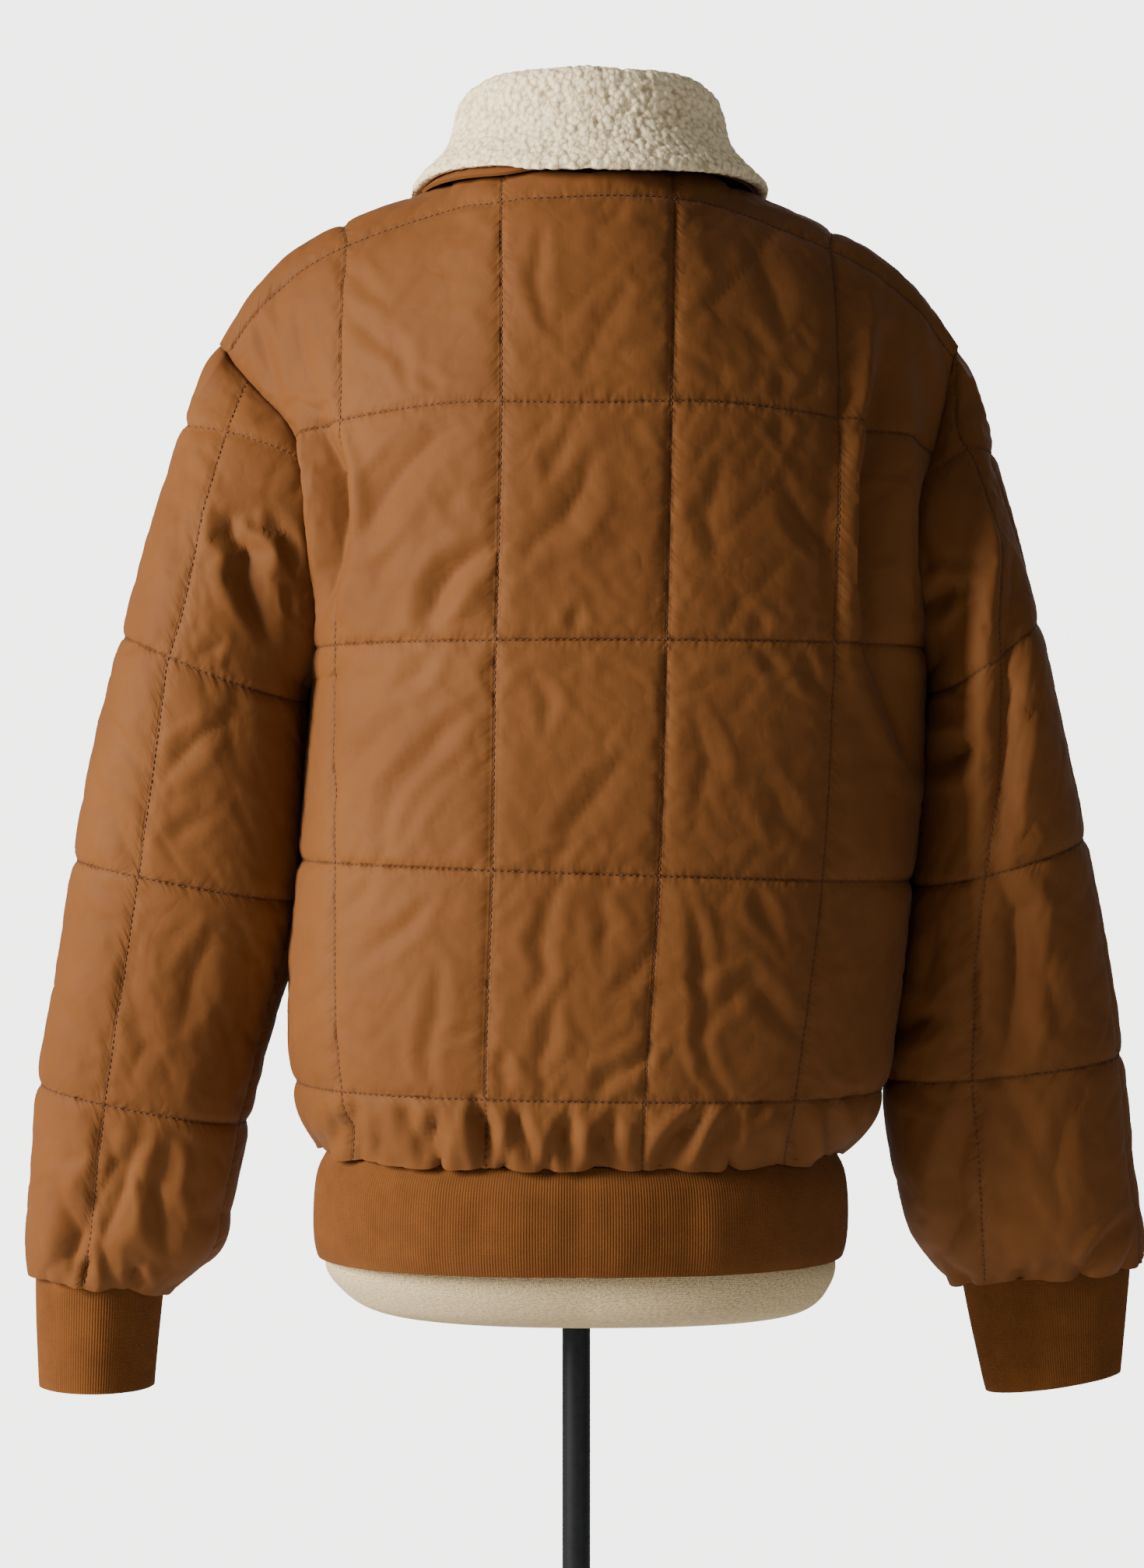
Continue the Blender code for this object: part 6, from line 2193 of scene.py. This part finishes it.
@dataclass(frozen=True)
class Stand:
    """The pole, its socket and the round base."""

    pole_radius: float = 0.0088
    base_radius: float = 0.180
    base_thickness: float = 0.010
    socket_radius: float = 0.021
    socket_height: float = 0.045
    socket_flare: float = 0.010
    edge: float = 0.004
    socket_edge: float = 0.003
    foot_edge: float = 0.0014
    sides: int = 96

    def _turned(self, name: str, profile: Profile, finish: Material, ring: bool = False) -> None:
        """Spin a profile of (radius, height) points round the stand's axis, with softened edges.

        Args:
            name: the piece's name, or its node's.
            profile: points from top to foot.
            finish: its material.
            ring: whether the profile closes on itself.
        """
        bm = bmesh.new()
        verts = [bm.verts.new((r, 0, z)) for r, z in profile]
        pairs = list(zip(verts, verts[1:])) + ([(verts[-1], verts[0])] if ring else [])
        edges = [bm.edges.new(pair) for pair in pairs]
        bmesh.ops.spin(
            bm, geom=[*verts, *edges], axis=(0, 0, 1), cent=(0, 0, 0), angle=2 * pi,
            steps=self.sides, use_merge=True,
        )
        bmesh.ops.remove_doubles(bm, verts=bm.verts, dist=1e-6)
        show(f"{name}_turned", bm, finish, (name,), sharp=35)

    def _corner(self, radius: float, height: float, size: float, up: int) -> Profile:
        """Return the points of a rounded rim, from its flat side to its upright side."""
        turns = [radians(90 * k / 5) for k in range(6)]
        return [(radius - size + size * sin(a), height - up * (size - size * cos(a))) for a in turns]

    def build(self, finish: Material) -> None:
        """Make the three pieces.

        Args:
            finish: its material.
        """
        top, seat = FORM_ROWS[0].z - SEAM_GAP, self.base_thickness + SEAM_GAP
        pole = [(0, top), (self.pole_radius, top), (self.pole_radius, seat), (0, seat)]
        self._turned("stand_pole", pole, finish)
        rim = self.base_thickness + self.socket_height
        foot = self.socket_radius + self.socket_flare
        flare = [(foot - self.socket_flare * sin(a), seat + self.socket_flare * 0.7 * (1 - cos(a)) + 0.001)
                 for a in np.linspace(0, pi / 2, 6)]
        self._turned("stand_socket", [
            (self.pole_radius + SEAM_GAP, rim), *self._corner(self.socket_radius, rim, self.socket_edge, 1),
            *flare[::-1], (foot, seat), (self.pole_radius + SEAM_GAP, seat),
        ], finish, ring=True)
        self._turned("stand_base", [
            (0, self.base_thickness), *self._corner(self.base_radius, self.base_thickness, self.edge, 1),
            *self._corner(self.base_radius, 0.0, self.foot_edge, -1)[::-1], (0, 0),
        ], finish)


# ---------------------------------------------------------------- finishes
class Graph:
    """A material's nodes, with short calls to add and join them."""

    def __init__(self, name: str, colour: Point, roughness: float) -> None:
        """Start a material from a plain shader.

        Args:
            name: the material's name.
            colour: base colour.
            roughness: 0 to 1.
        """
        self.material = bpy.data.materials.new(name)
        self.material.use_nodes = True
        self.tree = self.material.node_tree
        self.shader = self.tree.nodes["Principled BSDF"]
        self.set("Base Color", (*colour, 1.0))
        self.set("Roughness", roughness)

    def set(self, socket: str, value: object) -> None:
        """Give one of the shader's sockets a value or a link."""
        self._put(self.shader.inputs[socket], value)

    def _put(self, socket: Socket, value: object) -> None:
        """Link a socket, or set its value.

        Args:
            socket: an input.
            value: a link or a plain value.
        """
        if isinstance(value, Socket):
            self.tree.links.new(value, socket)
        else:
            socket.default_value = value

    def add(self, kind: str, out: int | str, inputs: dict[int | str, object], **settings: object) -> Socket:
        """Add a node.

        Args:
            kind: its type without the ShaderNode prefix.
            out: which output to return.
            inputs: values or links by socket.
            **settings: the node's own properties.

        Returns:
            The output socket.
        """
        node = self.tree.nodes.new(f"ShaderNode{kind}")
        for name, value in settings.items():
            setattr(node, name, value)
        for key, value in inputs.items():
            self._put(node.inputs[key], value)
        return node.outputs[out]

    def place(self, which: str = "UV", scale: Point = (1, 1, 1)) -> Socket:
        """Return coordinates on the cloth ("UV") or in the frame ("Object"), scaled."""
        source = self.add("TexCoord", which, {})
        return self.add("Mapping", 0, {"Vector": source, "Scale": scale})

    def mark(self, name: str) -> Socket:
        """Return an attribute of the piece; 0 where it has none."""
        return self.add("Attribute", "Fac", {}, attribute_name=name)

    def noise(self, place: Socket, scale: float, detail: float = 3.0, rough: float = 0.5) -> Socket:
        """Return noise at a scale, in cells a metre."""
        inputs = {"Vector": place, "Scale": scale, "Detail": detail, "Roughness": rough}
        return self.add("TexNoise", 0, inputs)

    def bands(self, place: Socket, pitch: float, direction: str, distortion: float = 0.0) -> Socket:
        """Return sine bands of a pitch in metres.

        Args:
            place: coordinates.
            pitch: metres from band to band.
            direction: X or Y.
            distortion: how wavy they are.

        Returns:
            The bands' height, 0 to 1.
        """
        return self.add(
            "TexWave", 1, {"Vector": place, "Scale": 2 * pi / (20 * pitch), "Distortion": distortion},
            bands_direction=direction,
        )

    def math(self, operation: str, first: object, second: object = 0.5) -> Socket:
        """Return the result of a math node."""
        return self.add("Math", 0, {0: first, 1: second}, operation=operation)

    def ranged(self, value: Socket, low: float, high: float, to_low: float, to_high: float) -> Socket:
        """Return a value mapped from one range to another."""
        return self.add("MapRange", 0, {0: value, 1: low, 2: high, 3: to_low, 4: to_high})

    def mix(self, share: object, first: object, second: object) -> Socket:
        """Return a mix of two colours, each a link or three numbers."""
        first, second = ((*c, 1) if isinstance(c, tuple) else c for c in (first, second))
        return self.add("Mix", 2, {0: share, 6: first, 7: second}, data_type="RGBA")

    def tint(self, value: Socket, span: tuple[float, ...], first: object, second: object) -> Socket:
        """Return a mix of two colours whose share is a value mapped by (low, high, to low, to high)."""
        return self.mix(self.ranged(value, *span), first, second)

    def sheen(self, specular: float, weight: float, roughness: float | None = None) -> None:
        """Give the cloth its shine and sheen.

        Args:
            specular: strength of its shine.
            weight: strength of its sheen.
            roughness: of the sheen; left as it is if None.
        """
        self.set("Specular IOR Level", specular)
        self.set("Sheen Weight", weight)
        if roughness is not None:
            self.set("Sheen Roughness", roughness)

    def bump(self, height: Socket, distance: float, strength: float = 1.0, normal: object = None) -> Socket:
        """Return a normal bumped by a height, over an earlier one if given.

        Args:
            height: a link.
            distance: metres.
            strength: 0 to 1.
            normal: an earlier bump.

        Returns:
            The normal.
        """
        inputs = {"Height": height, "Distance": distance, "Strength": strength}
        if normal is not None:
            inputs["Normal"] = normal
        return self.add("Bump", 0, inputs)


@dataclass(frozen=True)
class ShellCloth:
    """Closely woven cloth with a slight sheen, and painted shade in the grooves along its stitching."""

    colour: Point = (0.150, 0.0535, 0.0118)
    shade: Point = (0.126, 0.043, 0.0088)
    roughness: float = 0.64
    groove: float = 0.88  # how near a line of stitching the cloth is pulled in and darkened with painted shade
    puckers: float = 170.0  # the puckers beside it, a metre
    weave: float = 0.00055  # from thread to thread

    def material(self) -> Material:
        """Return the material.

        Returns:
            It, with its nodes.
        """
        g = Graph("shell_cloth", self.colour, self.roughness)
        on_cloth, in_frame = g.place("UV"), g.place("Object")
        patches = g.noise(in_frame, 9.0, 4.0, 0.6)
        fibres = g.noise(g.place("UV", (1.0, 0.18, 1.0)), 900.0, 2.0)
        share = g.math("MULTIPLY_ADD", patches, 0.8)
        colour = g.tint(patches, (0.35, 0.65, 0.0, 1.0), self.colour, self.shade)
        colour = g.tint(fibres, (0.3, 0.7, 0.0, 0.16), colour, self.shade)
        level, upright = g.mark("by_level"), g.mark("by_upright")
        groove = g.ranged(g.math("MAXIMUM", level, upright), self.groove, 1.0, 0.0, 1.0)
        # painted shade: the cloth's colour darkens towards the lines of stitching, where the grooves fall in
        # shadow
        painted_groove_shade = tuple(0.35 * part for part in self.shade)
        g.set("Base Color", g.mix(g.math("MULTIPLY", groove, 0.28), colour, painted_groove_shade))
        g.set("Roughness", g.ranged(share, 0.2, 1.0, self.roughness - 0.05, self.roughness + 0.07))
        drawn = [
            g.math("MULTIPLY", g.math("POWER", near, 2.0), g.noise(g.place("UV", scale), self.puckers, 1.0))
            for near, scale in ((level, (1.0, 0.4, 1.0)), (upright, (0.4, 1.0, 1.0)))
        ]
        weave = g.math("MULTIPLY", g.bands(on_cloth, self.weave, "X"), g.bands(on_cloth, self.weave, "Y"))
        crinkle = g.noise(in_frame, 75.0, 4.0, 0.55)
        creased = g.math("ABSOLUTE", g.math("SUBTRACT", g.noise(in_frame, 38.0, 2.0, 0.5), 0.5))
        normal = g.bump(g.ranged(creased, 0.0, 0.10, 0.0, 1.0), 0.0004, 0.35)
        normal = g.bump(crinkle, 0.0008, 0.25, normal)
        normal = g.bump(g.math("ADD", *drawn), 0.0026, 0.7, normal)
        normal = g.bump(g.math("SUBTRACT", 1.0, groove), 0.0008, 0.7, normal)
        g.set("Normal", g.bump(weave, 0.00008, 0.35, normal))
        g.sheen(0.14, 0.03, 0.4)
        return g.material


@dataclass(frozen=True)
class RibKnit:
    """Fine rib knit, matt."""

    colour: Point = (0.152, 0.0515, 0.0092)
    shade: Point = (0.090, 0.0285, 0.0052)

    def material(self) -> Material:
        """Return the material.

        Returns:
            It, with its nodes.
        """
        g = Graph("rib_knit", self.colour, 0.92)
        on_cloth = g.place("UV")
        loops = g.bands(on_cloth, 0.0013, "Y", 0.6)
        yarn = g.noise(g.place("UV", (1.0, 0.4, 1.0)), 1500.0, 2.0)
        heather = g.noise(g.place("Object"), 60.0, 4.0, 0.65)
        colour = g.tint(heather, (0.3, 0.7, 0.0, 0.55), self.colour, self.shade)
        g.set("Base Color", g.tint(yarn, (0.35, 0.7, 0.0, 0.35), colour, self.shade))
        normal = g.bump(loops, 0.0003, 0.5)
        g.set("Normal", g.bump(yarn, 0.0003, 0.5, normal))
        g.sheen(0.12, 0.06)
        return g.material


@dataclass(frozen=True)
class Fleece:
    """Cream curly pile, with painted shade in the cracks between its curls."""

    colour: Point = (1.0, 0.82, 0.51)
    # painted shade of the cracks between the curls
    shade: Point = (0.50, 0.345, 0.18)
    nub: float = 0.0037
    stray: float = 0.0022  # how far noise bends the tufts

    def material(self) -> Material:
        """Return the material.

        Returns:
            It, with its nodes.
        """
        g = Graph("fleece", self.colour, 1.0)
        place = g.place("Object")
        stray = g.add("TexNoise", 1, {"Vector": place, "Scale": 300.0, "Detail": 2.0})
        curled = g.add("VectorMath", 0, {0: stray, 1: (self.stray,) * 3, 2: place}, operation="MULTIPLY_ADD")
        away = g.add("TexVoronoi", 0, {"Vector": curled, "Scale": 1 / self.nub})
        tufts = g.math("SUBTRACT", 1.0, g.math("POWER", away, 2.0))
        fibre = g.noise(place, 2600.0, 2.0, 0.6)
        # painted shade: darker in the cracks between the shader's tufts and between the modelled curls
        colour = g.tint(away, (0.42, 0.80, 0.0, 0.6), self.colour, self.shade)
        g.set("Base Color", g.tint(g.mark("curl"), (0.0, 0.40, 0.85, 0.0), colour, self.shade))
        normal = g.bump(tufts, 0.0014, 0.8)
        g.set("Normal", g.bump(fibre, 0.0004, 0.8, normal))
        g.sheen(0.1, 0.12, 0.6)
        return g.material


@dataclass(frozen=True)
class Linen:
    """Oatmeal linen with slubs."""

    colour: Point = (0.80, 0.62, 0.36)
    shade: Point = (0.26, 0.180, 0.090)
    pitch: float = 0.0011

    def material(self) -> Material:
        """Return the material.

        Returns:
            It, with its nodes.
        """
        g = Graph("linen", self.colour, 0.95)
        on_cloth = g.place("UV")
        warp = g.bands(on_cloth, self.pitch, "X", 1.2)
        weft = g.bands(on_cloth, self.pitch, "Y", 1.2)
        slubs = g.noise(g.place("UV", (1.0, 0.45, 1.0)), 1100.0, 3.0, 0.65)
        cross = g.noise(g.place("UV", (0.45, 1.0, 1.0)), 1100.0, 3.0, 0.65)
        threads = g.math("MULTIPLY", g.math("ADD", warp, slubs), g.math("ADD", weft, cross))
        mottled = g.math("ADD", g.math("MULTIPLY", slubs, cross), g.math("MULTIPLY", threads, 0.10))
        g.set("Base Color", g.tint(mottled, (0.16, 0.46, 1.0, 0.0), self.colour, self.shade))
        g.set("Normal", g.bump(threads, 0.0003, 0.6))
        g.sheen(0.12, 0.05)
        return g.material


class Metal(Enum):
    """The two metals: name, colour, metallic, roughness and how much it varies."""

    STAND = ("stand_metal", (0.028, 0.029, 0.031), 0.85, 0.40, 0.08)
    ZIP = ("zip_metal", (0.50, 0.38, 0.21), 1.0, 0.32, 0.14)

    def material(self) -> Material:
        """Return the material.

        Returns:
            It, with its nodes.
        """
        name, colour, metallic, roughness, vary = self.value
        g = Graph(name, colour, roughness)
        place = g.place("Object")
        wear = g.noise(place, 180.0, 4.0, 0.6)
        fine = g.noise(g.place("Object", (1, 1, 0.1)), 2200.0, 2.0)
        dull = tuple(c * 0.55 for c in colour)
        g.set("Base Color", g.tint(wear, (0.4, 0.75, 0.0, 0.7), colour, dull))
        g.set("Roughness", g.ranged(wear, 0.25, 0.75, roughness - vary / 2, roughness + vary))
        g.set("Normal", g.bump(fine, 0.00003, 0.4))
        g.set("Metallic", metallic)
        return g.material


@dataclass(frozen=True)
class Thread:
    """Dark sewing thread."""

    colour: Point = (0.060, 0.020, 0.006)

    def material(self) -> Material:
        """Return the material.

        Returns:
            It, with its nodes.
        """
        g = Graph("thread", self.colour, 0.7)
        twist = g.noise(g.place("Object"), 3000.0, 2.0)
        g.set("Base Color", g.mix(twist, self.colour, tuple(c * 1.7 for c in self.colour)))
        g.set("Normal", g.bump(twist, 0.0001, 0.5))
        return g.material


# ---------------------------------------------------------------- studio
class Lamp(NamedTuple):
    """A soft rectangular light that faces the stand's axis."""

    name: str
    place: Point
    target: float  # height that it faces
    width: float
    height: float
    power: float
    colour: Point


LAMPS = (
    Lamp("key", (2.25, 1.08, 1.85), 1.15, 0.8, 1.2, 188, (1.0, 0.97, 0.93)),
    Lamp("fill", (-1.8, 2.2, 1.3), 1.1, 1.6, 1.8, 5, (0.95, 0.97, 1.0)),
    Lamp("rim", (-0.8, -2.4, 2.2), 1.2, 1.6, 1.2, 15, (1.0, 1.0, 1.0)),
)


@dataclass(frozen=True)
class Studio:
    """A pale floor, a strong soft key from the wearer's left and a weak fill."""

    floor: float = 2.45
    grey: Point = (0.88, 0.87, 0.85)
    light: tuple[Point, float] = ((0.95, 0.97, 1.0), 0.25)  # of the world on the jacket
    backdrop: tuple[Point, float] = ((1.0, 0.99, 0.97), 4.2)  # and as the camera sees it

    def _hang(self, lamp: Lamp) -> None:
        """Hang a soft light that faces its target.

        Args:
            lamp: its sizes and place.
        """
        data = bpy.data.lights.new(lamp.name, "AREA")
        data.shape, data.size, data.size_y = "RECTANGLE", lamp.width, lamp.height
        data.energy, data.color = lamp.power, lamp.colour
        light = bpy.data.objects.new(lamp.name, data)
        light.location = lamp.place
        way = Vector((0.0, 0.0, lamp.target)) - Vector(lamp.place)
        light.rotation_euler = way.to_track_quat("-Z", "Y").to_euler()
        bpy.context.scene.collection.objects.link(light)

    def build(self) -> None:
        """Lay the floor and light the scene."""
        bm = bmesh.new()
        bmesh.ops.create_circle(bm, cap_ends=True, radius=self.floor, segments=96)
        mesh = bpy.data.meshes.new("floor")
        bm.to_mesh(mesh)
        bm.free()
        floor = bpy.data.objects.new("floor", mesh)
        g = Graph("floor_paint", self.grey, 0.85)
        g.set("Roughness", g.ranged(g.noise(g.place("Object"), 3.0), 0.0, 1.0, 0.8, 0.9))
        mesh.materials.append(g.material)
        bpy.context.scene.collection.objects.link(floor)
        for lamp in LAMPS:
            self._hang(lamp)
        world = bpy.data.worlds.new("studio")
        world.use_nodes = True
        bpy.context.scene.world = world
        tree = world.node_tree
        lit, seen = tree.nodes["Background"], tree.nodes.new("ShaderNodeBackground")
        for node, (colour, strength) in ((lit, self.light), (seen, self.backdrop)):
            node.inputs[0].default_value = (*colour, 1)
            node.inputs[1].default_value = strength
        path = tree.nodes.new("ShaderNodeLightPath")
        choose = tree.nodes.new("ShaderNodeMixShader")
        tree.links.new(path.outputs["Is Camera Ray"], choose.inputs[0])
        tree.links.new(lit.outputs[0], choose.inputs[1])
        tree.links.new(seen.outputs[0], choose.inputs[2])
        tree.links.new(choose.outputs[0], tree.nodes["World Output"].inputs[0])


# ---------------------------------------------------------------- the whole
class Jacket:
    """The jacket's pieces, built in the order in which they hang on each other."""

    def __init__(self) -> None:
        """Lay out the quilted pieces."""
        rows = (14, 42, 37, 7, 46, 42)  # grid steps between hem, stitching and underarm
        self.back = Panel(
            Face.BACK, (Side.RIGHT, Side.LEFT), (*QUILT_ROWS, YOKE_ROW), (*rows, 12), (16, 33, 32),
            BACK_CREASES, 11,
        )
        self.fronts = {
            side: Panel(Face.FRONT, (side,), QUILT_ROWS, rows, (20, 28, 32), BACK_CREASES, 23 + side)
            for side in Side
        }
        self.sleeves = {side: Sleeve(side, self.back, self.fronts[side], 37 + side) for side in Side}

    def build(self) -> None:
        """Make every piece of the jacket."""
        shell, rib, thread = ShellCloth().material(), RibKnit().material(), Thread().material()
        zip_metal = Metal.ZIP.material()
        pieces: dict[str, Quilted] = {"back": self.back}
        for side, name in SIDES:
            pieces[f"front_{name}"] = self.fronts[side]
            pieces[f"sleeve_{name}"] = self.sleeves[side]
        for name, piece in pieces.items():
            piece.shape()
            obj = piece.build(name, shell)
            sewn = Stitching().sew(f"stitching_{name}", piece.stitched_lines(), thread)
        band = KnitBand()
        hem = band.hem(rib)
        for side, name in SIDES:
            cuff = band.cuff(side, self.sleeves[side].inner[-1], rib)
        collar = Collar()
        fleece = collar.build_fleece(Fleece().material())
        under = collar.build_under(shell)
        ZipFastening().build(self.fronts, rib, zip_metal)
        for name in ("zip_slider", "zip_pull"):
            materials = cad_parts[name].data.materials
            materials.clear()
            materials.append(zip_metal)


def main() -> None:
    """Build the scene and report each piece."""
    logging.basicConfig(level=logging.INFO, format="%(name)s: %(message)s")
    VIEW.build()
    Jacket().build()
    DressForm().build(Linen().material())
    Stand().build(Metal.STAND.material())
    Studio().build()


if __name__ == "__main__":
    main()
